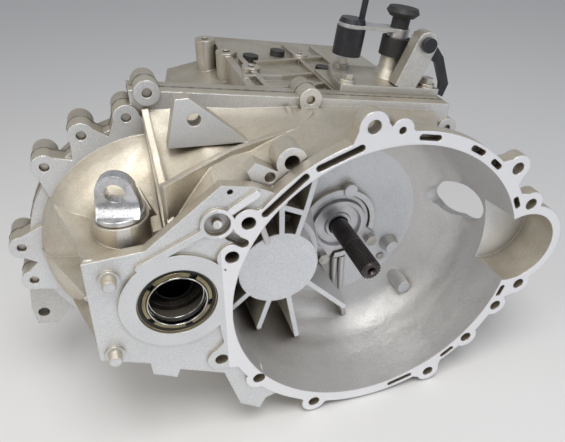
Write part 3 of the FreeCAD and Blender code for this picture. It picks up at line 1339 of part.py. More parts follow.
def tower_bolt_set():
    bolts = []
    for x, y in tower_bolts():
        shank = Part.makeCylinder(BOLT_R - FIT, TOWER_FOOT_T + 4 + 16, Vector(x, y, -16))
        corners = [Vector(x, y, TOWER_FOOT_T + 4) + Vector(math.cos(a), math.sin(a), 0) * 7.0
                   for a in (math.radians(60 * i) for i in range(7))]
        head = Part.Face(Part.makePolygon(corners)).extrude(Vector(0, 0, 6))
        bolts.append(place_on_roof(shank.fuse(head)))
    return Part.makeCompound(bolts)


ROOF_PLUGS = ((-62.0, 268.0), (-18.0, 300.0), (21.0, 238.0))


def roof_plugs():
    """Black caps over the detent and locating-pin bores in the roof."""
    caps = []
    a = math.radians(ROOF_LEAN)
    for x, y in ROOF_PLUGS:
        foot = Vector(x, y, roof_z(x) + 0.05)
        caps.append(Part.makeCylinder(9.5, 7, foot, Vector(math.sin(a), 0, math.cos(a))))
    return Part.makeCompound(caps)


# ---------------------------------------------------------------- small fittings
EYE_R = 5.0


def lifting_eye():
    """Eye bolt for lifting the gearbox, on its upright boss."""
    x, y = EYE_BOSS
    eye = ring((x + 8.0, EYE_BOSS_TOP + 24.0), 12.0, 6.0, y - 3.5, y + 3.5)
    stem = neck((x, EYE_BOSS_TOP + 3.0), (x + 5.0, EYE_BOSS_TOP + 15.0), 6.5, 5.0, y - 3.5, y + 3.5)
    collar = post(x, y, 9.5, EYE_BOSS_TOP, EYE_BOSS_TOP + 4)
    return fuse([eye, stem, collar, post(x, y, EYE_R, EYE_BOSS_TOP - 16, EYE_BOSS_TOP + 2)])


def plate_studs():
    """Two studs in the plate, towards the engine."""
    studs = [disc(p, STUD_R, -8.0, PLATE_T + PLATE_Y).fuse(cone(
        p, STUD_R - 1.2, STUD_R, -10.0, -8.0
    )) for p in PLATE_STUDS]
    return Part.makeCompound(studs)


def retainer_bolt_set():
    return Part.makeCompound([bolt(
        p, BELL_DEPTH - 4, BELL_DEPTH + FLOOR_T - 2, BOLT_R - FIT
    ) for p in RETAINER_EYES])


def plug(base, axis, depth):
    """A screwed plug with a hexagon head, from its seat along axis; depth is how far it goes in."""
    flat = Part.makePolygon([Vector(11 * math.cos(math.radians(60 * i)), 11 * math.sin(math.radians(60 * i)), 0)
                             for i in range(7)])
    head = Part.Face(flat).extrude(Vector(0, 0, 8))
    collar = Part.makeCylinder(12.5, 2)
    shape = fuse([head, collar, Part.makeCylinder(PLUG_R, depth, Vector(0, 0, -depth))])
    shape.Placement = FreeCAD.Placement(base, FreeCAD.Rotation(Vector(0, 0, 1), axis))
    return shape


def drain_plug():
    return plug(Vector(*DRAIN_AT, DRAIN_FACE), Vector(0, 0, -1), 11.0)


def fill_plug():
    return plug(fill_point(INPUT_ROOM + 4), fill_axis(), 10.0)


def reverse_switch():
    """Reversing-light switch with its connector."""
    seat = Vector(ROOF_RIGHT + 6, *SWITCH_AT)
    body = plug(seat, Vector(1, 0, 0), 12.0)
    barrel = Part.makeCylinder(8.5, 20, seat + Vector(8, 0, 0), Vector(1, 0, 0))
    return body.fuse([barrel, Part.makeBox(14, 12, 9, seat + Vector(24, -6, -4.5))])


NODES = {
    "clutch_housing": clutch_housing,
    "transmission_case": transmission_case,
    "rear_cover": rear_cover,
    "shift_tower": shift_tower,
    "input_retainer": input_retainer,
    "input_shaft": input_shaft,
    "third_input_gear": input_gear("third"),
    "fourth_input_gear": input_gear("fourth"),
    "fifth_input_gear": input_gear("fifth"),
    "input_bearing_cups": cups("input"),
    "input_bearing_cones": cones("input"),
    "output_shaft": output_shaft,
    "output_bearing_cups": cups("output"),
    "output_bearing_cones": cones("output"),
    "synchro_hubs": synchro_hubs,
    "synchro_rings": synchro_rings,
    "sleeve_34": sleeve("34"),
    "sleeve_12": sleeve("12"),
    "sleeve_5r": sleeve("5r"),
    "first_gear": speed_gear("first"),
    "second_gear": speed_gear("second"),
    "third_gear": speed_gear("third"),
    "fourth_gear": speed_gear("fourth"),
    "fifth_gear": speed_gear("fifth"),
    "reverse_gear": speed_gear("reverse"),
    "reverse_idler": reverse_idler,
    "idler_shaft": idler_shaft,
    "differential_case": differential_case,
    "ring_gear": ring_gear,
    "ring_gear_bolts": ring_gear_bolts,
    "diff_bearing_cups": cups("diff"),
    "diff_bearing_cones": cones("diff"),
    "cross_pin": cross_pin,
    "side_gear_front": side_gear(-1),
    "side_gear_rear": side_gear(1),
    "spider_gear_top": spider_gear(1),
    "spider_gear_bottom": spider_gear(-1),
    "front_drive_seal": drive_seal(3.0, -1),
    "rear_drive_seal": drive_seal(DIFF_REAR_SEAL_Y, 1),
    "fork_34": fork("34"),
    "fork_12": fork("12"),
    "fork_5r": fork("5r"),
    "shift_shaft": shift_shaft,
    "shift_lever": shift_lever,
    "lever_weight": lever_weight,
    "lever_damper": lever_damper,
    "dust_skirt": dust_skirt,
    "select_lever": select_lever,
    "joint_bolts": joint_bolt_set,
    "cover_bolts": cover_bolt_set,
    "tower_bolts": tower_bolt_set,
    "roof_plugs": roof_plugs,
    "lifting_eye": lifting_eye,
    "plate_studs": plate_studs,
    "retainer_bolts": retainer_bolt_set,
    "drain_plug": drain_plug,
    "fill_plug": fill_plug,
    "reverse_switch": reverse_switch,
}


def build():
    os.makedirs("parts", exist_ok=True)
    for name, make in NODES.items():
        shape = make()
        print(name, len(shape.Solids), shape.isValid(), round(shape.Volume / 1000.0, 1), "cm3")
        shape.exportStep("parts/" + name + ".step")


build()
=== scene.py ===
# %% [markdown]
# # A transaxle gearbox on a pale floor
# The real object is a large aluminium casting with a few steel, rubber and black-finished parts on it.
# Its shape comes ready-made as a frame of separate nodes, one for each real piece or set of like pieces.
# This file gives every node its finish, adds the pieces that are easier to make as a mesh,
# and sets up the floor, the light and the camera.

# %% Load the frame
import json
import math

import bmesh
import bpy
from mathutils import Matrix, Vector


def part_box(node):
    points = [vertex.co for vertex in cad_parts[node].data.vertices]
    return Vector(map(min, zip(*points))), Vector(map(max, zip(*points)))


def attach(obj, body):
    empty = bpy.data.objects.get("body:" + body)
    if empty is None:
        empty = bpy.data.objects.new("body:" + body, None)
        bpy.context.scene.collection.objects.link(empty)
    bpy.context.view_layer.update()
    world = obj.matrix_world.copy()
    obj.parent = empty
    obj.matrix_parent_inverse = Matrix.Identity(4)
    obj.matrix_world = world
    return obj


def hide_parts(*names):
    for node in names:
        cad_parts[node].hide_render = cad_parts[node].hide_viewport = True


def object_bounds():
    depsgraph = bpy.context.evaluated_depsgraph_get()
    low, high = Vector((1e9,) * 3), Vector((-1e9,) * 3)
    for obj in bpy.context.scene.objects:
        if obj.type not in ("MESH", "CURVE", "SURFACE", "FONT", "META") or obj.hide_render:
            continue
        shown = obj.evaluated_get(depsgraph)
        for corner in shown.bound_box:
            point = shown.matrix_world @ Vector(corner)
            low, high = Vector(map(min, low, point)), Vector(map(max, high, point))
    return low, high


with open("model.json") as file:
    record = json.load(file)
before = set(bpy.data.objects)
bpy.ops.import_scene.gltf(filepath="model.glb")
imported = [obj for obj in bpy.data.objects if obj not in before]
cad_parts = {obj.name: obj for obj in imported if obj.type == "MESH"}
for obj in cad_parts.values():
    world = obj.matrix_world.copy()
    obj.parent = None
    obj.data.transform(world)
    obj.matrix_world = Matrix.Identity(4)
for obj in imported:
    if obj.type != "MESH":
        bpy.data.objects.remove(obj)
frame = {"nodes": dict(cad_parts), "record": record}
CAD_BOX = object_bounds()
NODES = frame["nodes"]
SLOT_OF = {part["node"]: part["material_slot"] for part in frame["record"]["subparts"]}
print("nodes:", len(NODES), "box:", CAD_BOX)

# %% [markdown]
# ## Rounding the facets away
# A cast bowl is one smooth surface, but the frame brings it as flat strips, each with its own corners.
# The mesh itself stays as it is.  A small geometry-nodes modifier joins the doubled corners, drops the old
# normals, and shades across every edge that bends by less than a set angle, so true edges stay crisp.

# %% A modifier that smooths by angle
SMOOTH_BELOW = math.radians(34)
WELD_DISTANCE = 0.000004


def smoothing_group(name):
    group = bpy.data.node_groups.new(name, "GeometryNodeTree")
    group.interface.new_socket("Geometry", in_out="INPUT", socket_type="NodeSocketGeometry")
    angle = group.interface.new_socket("Angle", in_out="INPUT", socket_type="NodeSocketFloat")
    angle.default_value = SMOOTH_BELOW
    group.interface.new_socket("Geometry", in_out="OUTPUT", socket_type="NodeSocketGeometry")
    new = group.nodes.new
    start, end = new("NodeGroupInput"), new("NodeGroupOutput")
    weld, drop = new("GeometryNodeMergeByDistance"), new("GeometryNodeRemoveAttribute")
    weld.inputs["Distance"].default_value = WELD_DISTANCE
    drop.inputs["Name"].default_value = "custom_normal"
    bend, test = new("GeometryNodeInputMeshEdgeAngle"), new("ShaderNodeMath")
    test.operation = "LESS_THAN"
    faces, edges = new("GeometryNodeSetShadeSmooth"), new("GeometryNodeSetShadeSmooth")
    edges.domain = "EDGE"
    link = group.links.new
    link(start.outputs["Geometry"], drop.inputs["Geometry"])
    link(drop.outputs["Geometry"], weld.inputs["Geometry"])
    link(weld.outputs["Geometry"], faces.inputs["Geometry"])
    link(faces.outputs["Geometry"], edges.inputs["Geometry"])
    link(bend.outputs["Unsigned Angle"], test.inputs[0])
    link(start.outputs["Angle"], test.inputs[1])
    link(test.outputs[0], edges.inputs["Shade Smooth"])
    link(edges.outputs["Geometry"], end.inputs["Geometry"])
    return group


SMOOTHING = smoothing_group("smooth_by_angle")


def smooth(piece):
    piece.modifiers.new("smooth_by_angle", "NODES").node_group = SMOOTHING


for node in NODES.values():
    smooth(node)
print("smoothed nodes:", len(NODES))

# %% [markdown]
# ## Shader groups
# Several finishes share the same effects, so each effect is built once as a node group.
# A group puts out only masks, values, colours or a normal, and every material feeds it its own numbers.
# A short helper adds a node and sets its inputs, which keeps the groups readable.

# %% Helpers that add shader nodes
def add(tree, kind, settings=(), **inputs):
    """A new node.  An input is named by its label, or by its number after an underscore."""
    node = tree.nodes.new(kind)
    for name, value in dict(settings).items():
        setattr(node, name, value)
    for name, value in inputs.items():
        socket = node.inputs[int(name[1:])] if name[0] == "_" else node.inputs[name.replace("_", " ")]
        if isinstance(value, bpy.types.NodeSocket):
            tree.links.new(value, socket)
        else:
            socket.default_value = value
    return node


def math_node(tree, operation, a, b=0.0):
    return add(tree, "ShaderNodeMath", {"operation": operation}, _0=a, _1=b).outputs[0]


def remap(tree, value, low, high, to_low=0.0, to_high=1.0):
    return add(tree, "ShaderNodeMapRange", {"clamp": True}, Value=value, From_Min=low, From_Max=high,
               To_Min=to_low, To_Max=to_high).outputs[0]


def shader_group(name, inputs, outputs):
    group = bpy.data.node_groups.new(name, "ShaderNodeTree")
    for label, kind, value in inputs:
        socket = group.interface.new_socket(label, in_out="INPUT", socket_type="NodeSocket" + kind)
        socket.default_value = value
    for label, kind in outputs:
        group.interface.new_socket(label, in_out="OUTPUT", socket_type="NodeSocket" + kind)
    return group, group.nodes.new("NodeGroupInput"), group.nodes.new("NodeGroupOutput")


print("helpers ready")

# %% [markdown]
# ### Cast skin
# Sand and die castings have a fine grain of less than a millimetre, a slow waviness, and stains that
# follow no edge.  Noise at three sizes gives them: the two finest go to the height, the widest to the
# stain mask, and the finest also makes the speckle.

# %% Group: cast skin
CAST_SKIN, start, end = shader_group(
    "cast_skin",
    [("Grain Size", "Float", 0.0009), ("Wave Size", "Float", 0.012), ("Stain Size", "Float", 0.05)],
    [("Height", "Float"), ("Stain", "Float"), ("Speckle", "Float")])
NOISES = (("Grain Size", 2.0, 0.6), ("Wave Size", 3.0, 0.55), ("Stain Size", 5.0, 0.62))
GRAIN_SHARE = 0.35
position = add(CAST_SKIN, "ShaderNodeNewGeometry").outputs["Position"]
grain, wave, stain = [
    add(CAST_SKIN, "ShaderNodeTexNoise", Vector=position, Detail=detail, Roughness=roughness,
        Scale=math_node(CAST_SKIN, "DIVIDE", 1.0, start.outputs[label])).outputs["Fac"]
    for label, detail, roughness in NOISES]
fine = math_node(CAST_SKIN, "MULTIPLY", grain, GRAIN_SHARE)
slow = math_node(CAST_SKIN, "MULTIPLY", wave, 1.0 - GRAIN_SHARE)
height = math_node(CAST_SKIN, "ADD", fine, slow)
CAST_SKIN.links.new(height, end.inputs["Height"])
CAST_SKIN.links.new(remap(CAST_SKIN, stain, 0.42, 0.68), end.inputs["Stain"])
CAST_SKIN.links.new(remap(CAST_SKIN, grain, 0.3, 0.7), end.inputs["Speckle"])
print("cast skin nodes:", len(CAST_SKIN.nodes))

# %% [markdown]
# ### Edges: wear and painted highlight; corners: grime and painted shade
# Handling polishes a casting's edges and oil and dust settle in its corners, and the colours these masks
# drive also paint a highlight on every edge and shade in every corner.  The bevel node serves the edges
# twice: its normal is rounded over each edge, which catches the light like a real fillet, and where it
# differs from the plain normal there is an edge.  Ambient occlusion finds the corners.

# %% Group: edges and corners
EDGES, start, end = shader_group(
    "edges_and_corners",
    [("Fillet", "Float", 0.0012), ("Corner Reach", "Float", 0.012)],
    [("Normal", "Vector"), ("Edge", "Float"), ("Corner", "Float")])
rounded = add(EDGES, "ShaderNodeBevel", {"samples": 4}, Radius=start.outputs["Fillet"]).outputs["Normal"]
plain = add(EDGES, "ShaderNodeNewGeometry").outputs["Normal"]
alike = add(EDGES, "ShaderNodeVectorMath", {"operation": "DOT_PRODUCT"}, _0=rounded, _1=plain)
reach = start.outputs["Corner Reach"]
shade = add(EDGES, "ShaderNodeAmbientOcclusion", {"samples": 6}, Distance=reach).outputs["AO"]
EDGES.links.new(rounded, end.inputs["Normal"])
EDGES.links.new(remap(EDGES, alike.outputs["Value"], 0.995, 0.86), end.inputs["Edge"])
EDGES.links.new(remap(EDGES, shade, 0.75, 0.2), end.inputs["Corner"])
print("edge nodes:", len(EDGES.nodes))

# %% [markdown]
# ### Where a surface lies
# Only the faces that must seal or locate are cut, and here that is the bell's rim.  Its mask takes the
# surface whose place along the shaft is near zero, whose normal looks at the engine, and which is right of
# the drive-shaft flange's edge.  Fine rings about the shaft axis stand for the marks of the face mill.
# Every flat that looks at the engine was blasted cleaner than the rest, and the inside of the bell has
# stayed out of the weather, so the group gives a mask for each.

# %% Group: place masks
PLACE, start, end = shader_group(
    "place_masks",
    [("Bell Radius", "Float", 0.1575), ("Bell Depth", "Float", 0.1225), ("Rim Radius", "Float", 0.215),
     ("Plate Edge", "Float", -0.162), ("Ring Pitch", "Float", 0.0012)],
    [("Cut", "Float"), ("Blasted", "Float"), ("Bell", "Float"), ("Marks", "Float")])
IN_PLANE = 0.0004       # how far from the engine plane a cut face may lie
FLAT_ON = -0.97         # the Y of a normal that looks straight at the engine
LEANS_OUT = -0.3        # the Y of a normal that leans towards the engine


def below(value, limit):
    return math_node(PLACE, "LESS_THAN", value, limit)


def both(a, b):
    return math_node(PLACE, "MULTIPLY", a, b)


geometry = add(PLACE, "ShaderNodeNewGeometry")
spot = add(PLACE, "ShaderNodeSeparateXYZ", _0=geometry.outputs["Position"])
normal = geometry.outputs["True Normal"]
facing = add(PLACE, "ShaderNodeSeparateXYZ", _0=normal)
aside = add(PLACE, "ShaderNodeCombineXYZ", X=spot.outputs["X"], Z=spot.outputs["Z"]).outputs[0]
away = add(PLACE, "ShaderNodeVectorMath", {"operation": "LENGTH"}, _0=aside).outputs["Value"]
outward = add(PLACE, "ShaderNodeVectorMath", {"operation": "DOT_PRODUCT"}, _0=aside, _1=normal)
print("place readings:", len(PLACE.nodes))

# %% The four masks
near = below(math_node(PLACE, "ABSOLUTE", spot.outputs["Y"]), IN_PLANE)
flat = below(facing.outputs["Y"], FLAT_ON)
to_axis = below(outward.outputs["Value"], 0.0)
inward = math_node(PLACE, "MAXIMUM", to_axis, below(facing.outputs["Y"], LEANS_OUT))
within = both(below(away, start.outputs["Bell Radius"]), inward)
off_plate = math_node(PLACE, "SUBTRACT", 1.0, below(spot.outputs["X"], start.outputs["Plate Edge"]))
on_rim = both(below(away, start.outputs["Rim Radius"]), off_plate)
turns = math_node(PLACE, "DIVIDE", away, start.outputs["Ring Pitch"])
MASKS = {
    "Cut": both(both(near, flat), on_rim),
    "Blasted": flat,
    "Bell": both(within, below(spot.outputs["Y"], start.outputs["Bell Depth"])),
    "Marks": math_node(PLACE, "SINE", both(turns, 2 * math.pi)),
}
for label, mask in MASKS.items():
    PLACE.links.new(mask, end.inputs[label])
print("place mask nodes:", len(PLACE.nodes))

# %% [markdown]
# ## Cast aluminium
# The housings are bare aluminium, light grey with a warm stain where they have weathered, bright on cut
# faces, bright on edges, which is wear and also a painted highlight, and grey-brown in the corners, which is
# grime and also painted shade.  Colour, roughness and height are mixed from the groups.

# %% Mixing helpers and the material start
def mix_colour(tree, factor, a, b, blend="MIX"):
    settings = {"data_type": "RGBA", "blend_type": blend}
    return add(tree, "ShaderNodeMix", settings, _0=factor, _6=a, _7=b).outputs[2]


def mix_value(tree, factor, a, b):
    return add(tree, "ShaderNodeMix", _0=factor, _2=a, _3=b).outputs[0]


def share(tree, mask, amount):
    return math_node(tree, "MULTIPLY", mask, amount)


def new_material(name, **plain):
    material = bpy.data.materials.new(name)
    material.use_nodes = True
    shader = material.node_tree.nodes["Principled BSDF"]
    for label, value in plain.items():
        shader.inputs[label.replace("_", " ")].default_value = value
    return material, material.node_tree, shader


def place_group(tree, group, **inputs):
    return add(tree, "ShaderNodeGroup", {"node_tree": group}, **inputs)


def bump(tree, shader, height, depth, normal):
    node = add(tree, "ShaderNodeBump", Strength=1.0, Distance=depth, Height=height, Normal=normal)
    tree.links.new(node.outputs["Normal"], shader.inputs["Normal"])


print("material helpers ready")

# %% Cast aluminium of the housings
# Shares of the blasted colour, of the corner colour, which is grime and painted shade, and of the edge
# colour, which is wear and painted highlight.
BLASTED_SHARE, CORNER_GRIME_AND_SHADE_SHARE, EDGE_WEAR_AND_HIGHLIGHT_SHARE = 0.8, 0.85, 0.6
FRECKLES = (0.84, 1.06)             # darkest and lightest grain
ROUGH_CLEAN, ROUGH_STAINED = 0.4, 0.54
ROUGH_WORN, ROUGH_CUT = 0.34, 0.36
MILL_MARKS = 0.02                   # share of the bump's depth


def cast_aluminium(name, clean, stained, corner, worn_and_highlight, inner, blasted, cut, grain, depth, stain_share):
    material, tree, shader = new_material(name, Metallic=0.78)
    skin = place_group(tree, CAST_SKIN, Grain_Size=grain)
    edges = place_group(tree, EDGES, Fillet=0.0018, Corner_Reach=0.026)
    where = place_group(tree, PLACE)
    weathered = mix_colour(tree, share(tree, skin.outputs["Stain"], stain_share), (*clean, 1), (*stained, 1))
    body = mix_colour(tree, where.outputs["Bell"], weathered, (*inner, 1))
    body = mix_colour(tree, share(tree, where.outputs["Blasted"], BLASTED_SHARE), body, (*blasted, 1))
    freckle = remap(tree, skin.outputs["Speckle"], 0.0, 1.0, *FRECKLES)
    freckles = add(tree, "ShaderNodeCombineColor", Red=freckle, Green=freckle, Blue=freckle).outputs[0]
    body = mix_colour(tree, 1.0, body, freckles, "MULTIPLY")
    # Painted shade: ambient occlusion darkens the corners towards the corner colour, grime and also shade
    # painted into the colour.
    body = mix_colour(tree, share(tree, edges.outputs["Corner"], CORNER_GRIME_AND_SHADE_SHARE), body, (*corner, 1))
    # Painted highlight: every edge is lightened towards the worn colour, wear and also a highlight painted
    # into the colour.
    body = mix_colour(tree, share(tree, edges.outputs["Edge"], EDGE_WEAR_AND_HIGHLIGHT_SHARE), body, (*worn_and_highlight, 1))
    body = mix_colour(tree, where.outputs["Cut"], body, (*cut, 1))
    tree.links.new(body, shader.inputs["Base Color"])
    rough = remap(tree, skin.outputs["Stain"], 0.0, 1.0, ROUGH_CLEAN, ROUGH_STAINED)
    rough = mix_value(tree, edges.outputs["Edge"], rough, ROUGH_WORN)
    rough = mix_value(tree, where.outputs["Cut"], rough, ROUGH_CUT)
    tree.links.new(rough, shader.inputs["Roughness"])
    ground = share(tree, where.outputs["Marks"], MILL_MARKS)
    bump(tree, shader, mix_value(tree, where.outputs["Cut"], skin.outputs["Height"], ground), depth,
         edges.outputs["Normal"])
    return material


# In both castings the corner colour is grime and painted shade, and the worn colour is wear and painted
# highlight on edges.
CAST = cast_aluminium(
    "cast_aluminium", clean=(0.72, 0.67, 0.57), stained=(0.54, 0.47, 0.36), corner=(0.17, 0.135, 0.095),
    worn_and_highlight=(0.86, 0.84, 0.8), inner=(0.72, 0.71, 0.7), blasted=(0.8, 0.825, 0.87), cut=(0.9, 0.9, 0.93),
    grain=0.0011, depth=0.0009, stain_share=0.7)
CAST_REAR = cast_aluminium(
    "cast_aluminium_rear", clean=(0.64, 0.6, 0.52), stained=(0.45, 0.4, 0.31), corner=(0.14, 0.115, 0.08),
    worn_and_highlight=(0.84, 0.82, 0.78), inner=(0.6, 0.59, 0.57), blasted=(0.7, 0.7, 0.7), cut=(0.8, 0.8, 0.82),
    grain=0.0013, depth=0.0011, stain_share=0.8)
print("cast finishes:", CAST.name, CAST_REAR.name)

# %% [markdown]
# ## Steel, rubber and plastic
# The smaller pieces need a shared recipe too: a colour that drifts a little, a roughness that drifts with it,
# a filleted edge, and a fine height.  One maker takes the numbers of each finish.

# %% The small finishes
CORNER_TINT = (0.45, 0.43, 0.4)     # the grime and painted shade in corners, as a share of the second colour
GRIME_AND_SHADE_SHARE, WEAR_AND_HIGHLIGHT_SHARE = 0.45, 0.7  # how much of it shows in corners, and how much of the edge colour, wear and painted highlight, shows on edges
ROUGH_SPREAD = (-0.06, 0.08)
WAVE_GRAINS = 7                     # the size of a wave, in grains


def small_finish(name, colour, second, rough, metallic, grain, depth, worn_and_highlight=None, coat=0.0, fillet=0.0006):
    material, tree, shader = new_material(name, Metallic=metallic, Coat_Weight=coat)
    skin = place_group(tree, CAST_SKIN, Grain_Size=grain, Wave_Size=grain * WAVE_GRAINS, Stain_Size=0.018)
    edges = place_group(tree, EDGES, Fillet=fillet, Corner_Reach=0.005)
    # Painted shade: corners darken towards a dimmed second colour, grime and also shade painted into the
    # colour.
    grime_and_shade = [value * tint for value, tint in zip(second, CORNER_TINT)]
    body = mix_colour(tree, skin.outputs["Stain"], (*colour, 1), (*second, 1))
    body = mix_colour(tree, share(tree, edges.outputs["Corner"], GRIME_AND_SHADE_SHARE), body, (*grime_and_shade, 1))
    # Painted highlight: edges lighten towards the worn colour, wear and also a highlight painted into the
    # colour.
    if worn_and_highlight is not None:
        body = mix_colour(tree, share(tree, edges.outputs["Edge"], WEAR_AND_HIGHLIGHT_SHARE), body, (*worn_and_highlight, 1))
    tree.links.new(body, shader.inputs["Base Color"])
    low, high = [rough + step for step in ROUGH_SPREAD]
    tree.links.new(remap(tree, skin.outputs["Speckle"], 0.0, 1.0, low, high), shader.inputs["Roughness"])
    bump(tree, shader, skin.outputs["Height"], depth, edges.outputs["Normal"])
    return material


# The worn colours below are wear and painted highlight on edges.
FINISH = {
    "cast_aluminium": CAST,
    "machined_steel": small_finish(
        "machined_steel", (0.52, 0.52, 0.53), (0.4, 0.39, 0.38), 0.3, 0.9, 0.0005, 0.00008,
        worn_and_highlight=(0.75, 0.75, 0.75)),
    "dark_steel": small_finish(
        "dark_steel", (0.085, 0.07, 0.068), (0.05, 0.042, 0.042), 0.34, 0.85, 0.0006, 0.0001,
        worn_and_highlight=(0.42, 0.4, 0.4), fillet=0.0004),
    "bearing_steel": small_finish(
        "bearing_steel", (0.62, 0.62, 0.65), (0.5, 0.49, 0.5), 0.32, 0.8, 0.0006, 0.00012,
        worn_and_highlight=(0.85, 0.85, 0.86)),
    "brass": small_finish("brass", (0.6, 0.44, 0.17), (0.45, 0.32, 0.12), 0.34, 0.9, 0.0006, 0.0001),
    "black_rubber": small_finish(
        "black_rubber", (0.018, 0.018, 0.019), (0.032, 0.031, 0.03), 0.55, 0.0, 0.0007, 0.0002),
    "cast_iron": small_finish(
        "cast_iron", (0.2, 0.2, 0.205), (0.13, 0.12, 0.115), 0.5, 0.6, 0.0012, 0.0005),
    "zinc_bolt": small_finish(
        "zinc_bolt", (0.6, 0.585, 0.55), (0.44, 0.42, 0.38), 0.36, 0.8, 0.0006, 0.00012,
        worn_and_highlight=(0.8, 0.79, 0.76)),
    "black_plate": small_finish(
        "black_plate", (0.016, 0.017, 0.022), (0.03, 0.03, 0.035), 0.38, 0.2, 0.0008, 0.0002,
        worn_and_highlight=(0.12, 0.12, 0.13), coat=0.15),
    "pressed_steel": small_finish(
        "pressed_steel", (0.62, 0.62, 0.63), (0.5, 0.49, 0.48), 0.34, 0.75, 0.0008, 0.00015,
        worn_and_highlight=(0.85, 0.85, 0.85)),
    "black_plastic": small_finish(
        "black_plastic", (0.02, 0.02, 0.021), (0.03, 0.03, 0.03), 0.42, 0.0, 0.0006, 0.00015),
}
print("finishes:", len(FINISH), "slots in use:", sorted(set(SLOT_OF.values())))

# %% Give every node its finish
# Painted shade: the gears, bearings and case seen through the seal are given near-black steel, shade painted
# into their colour.
INNER_STEEL_PAINTED_SHADE = small_finish(
    "inner_steel_painted_shade", (0.05, 0.047, 0.045), (0.02, 0.018, 0.017), 0.22, 0.9, 0.0006, 0.0001,
    worn_and_highlight=(0.3, 0.29, 0.28))
SPECIAL = dict.fromkeys(("transmission_case", "rear_cover", "shift_tower"), CAST_REAR)
SPECIAL.update(dict.fromkeys((
    "side_gear_front", "side_gear_rear", "diff_bearing_cones", "diff_bearing_cups", "differential_case",
    "cross_pin"), INNER_STEEL_PAINTED_SHADE))
for name, node in NODES.items():
    for slot in node.material_slots:
        slot.material = SPECIAL.get(name, FINISH[SLOT_OF[name]])
print("nodes with a finish:", len(NODES))

# %% [markdown]
# ## Turned pieces
# Rings and collars are bodies of revolution.  A short list of (radius, height) points is spun about an axis
# with bmesh, which keeps every ring a closed form with its true rolled edges.

# %% Helpers for pieces of the scene's own
MM = 0.001


def join_loops(form, a, b):
    """Quads between two closed loops of vertices."""
    for i in range(len(a)):
        k = (i + 1) % len(a)
        form.faces.new((a[i], a[k], b[k], b[i]))


def piece_from(form, name, matrix):
    """The form, given in millimetres, as a mesh object placed by the matrix."""
    bmesh.ops.recalc_face_normals(form, faces=form.faces)
    bmesh.ops.transform(form, matrix=matrix @ Matrix.Scale(MM, 4), verts=form.verts)
    mesh = bpy.data.meshes.new(name)
    form.to_mesh(mesh)
    form.free()
    piece = bpy.data.objects.new(name, mesh)
    bpy.context.scene.collection.objects.link(piece)
    return piece


def finish_piece(piece, body, material):
    piece.data.materials.append(material)
    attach(piece, body)
    print("piece:", piece.name, "on", body)


print("piece helpers ready")

# %% A helper that spins a profile
TO_SHAFT = Vector((0, 0, 1)).rotation_difference(Vector((0, 1, 0))).to_matrix().to_4x4()


def spin_profile(name, profile, origin, steps=96, spans=()):
    """A ring about the shaft's direction, or capped arcs where spans lists (start, stop) in degrees."""
    form = bmesh.new()
    for start, stop in spans or ((0, 360),):
        parts = max(3, round(steps * (stop - start) / 360)) if spans else steps
        loops = []
        for step in range(parts + bool(spans)):
            angle = math.radians(start + (stop - start) * step / parts)
            across, up = math.cos(angle), math.sin(angle)
            loops.append([form.verts.new((r * across, r * up, h)) for r, h in profile])
        for a, b in zip(loops, loops[1:] if spans else loops[1:] + loops[:1]):
            join_loops(form, a, b)
        if spans:
            form.faces.new(loops[0][::-1])
            form.faces.new(loops[-1])
    piece = piece_from(form, name, Matrix.Translation(Vector(origin) * MM) @ TO_SHAFT)
    smooth(piece)
    return piece


print("spin helper ready")

# %% [markdown]
# ### The drive-shaft seal
# The seal is a pressed steel cup with a yellow passivated face, a black lip, and a polished sleeve that
# guides the shaft in.  The frame has the rubber body; the cup's rolled edge, its notched face, the sleeve
# and the garter spring are spun and laid on it.  The notches are gaps in the face's sweep, so the black
# rubber shows through them.

# %% Seal pieces
SEAL_AT = (-204.0, 0.0, 30.0)
PASSIVATED = small_finish(
    "yellow_passivated", (0.34, 0.29, 0.17), (0.16, 0.14, 0.08), 0.3, 0.85, 0.0006, 0.0001,
    worn_and_highlight=(0.66, 0.6, 0.44))
POLISHED = small_finish(
    "polished_sleeve", (0.62, 0.61, 0.58), (0.4, 0.38, 0.34), 0.14, 1.0, 0.0006, 0.00004,
    worn_and_highlight=(0.8, 0.79, 0.77))
FACE_ARCS = ((22, 68), (82, 140), (154, 218), (232, 296), (310, 368))
ROLLED_EDGE = ((36.2, 4.4), (36.2, 2.3), (35.7, 1.8), (35.2, 2.0), (34.9, 2.6), (34.8, 4.4))
NOTCHED_FACE = ((31.9, 4.6), (31.9, 2.8), (31.4, 2.2), (28.9, 1.5), (28.4, 1.8), (28.2, 4.6))
SLEEVE = ((28.0, 5.0), (27.9, 1.6), (27.4, 0.9), (26.8, 0.7), (26.3, 1.1), (26.0, 2.2), (26.2, 6.0))
SPRING = ((26.4, 10.0), (26.1, 9.3), (25.4, 9.0), (24.8, 9.4), (24.7, 10.1), (25.2, 10.8), (26.0, 10.8))
RINGS = (
    ("seal_rolled_edge", ROLLED_EDGE, (), PASSIVATED),
    ("seal_notched_face", NOTCHED_FACE, FACE_ARCS, PASSIVATED),
    ("seal_sleeve", SLEEVE, (), POLISHED),
    ("garter_spring", SPRING, (), POLISHED),
)
for name, profile, spans, material in RINGS:
    finish_piece(spin_profile(name, profile, SEAL_AT, spans=spans), "housing", material)

# %% [markdown]
# ### The pegs on the drive-shaft flange
# Two stubby pegs are cast with the flange: a wide foot, a short shank and a flat top with a rounded edge.
# The frame has them as studs; here each is spun from a profile, and together they stand for the frame's.

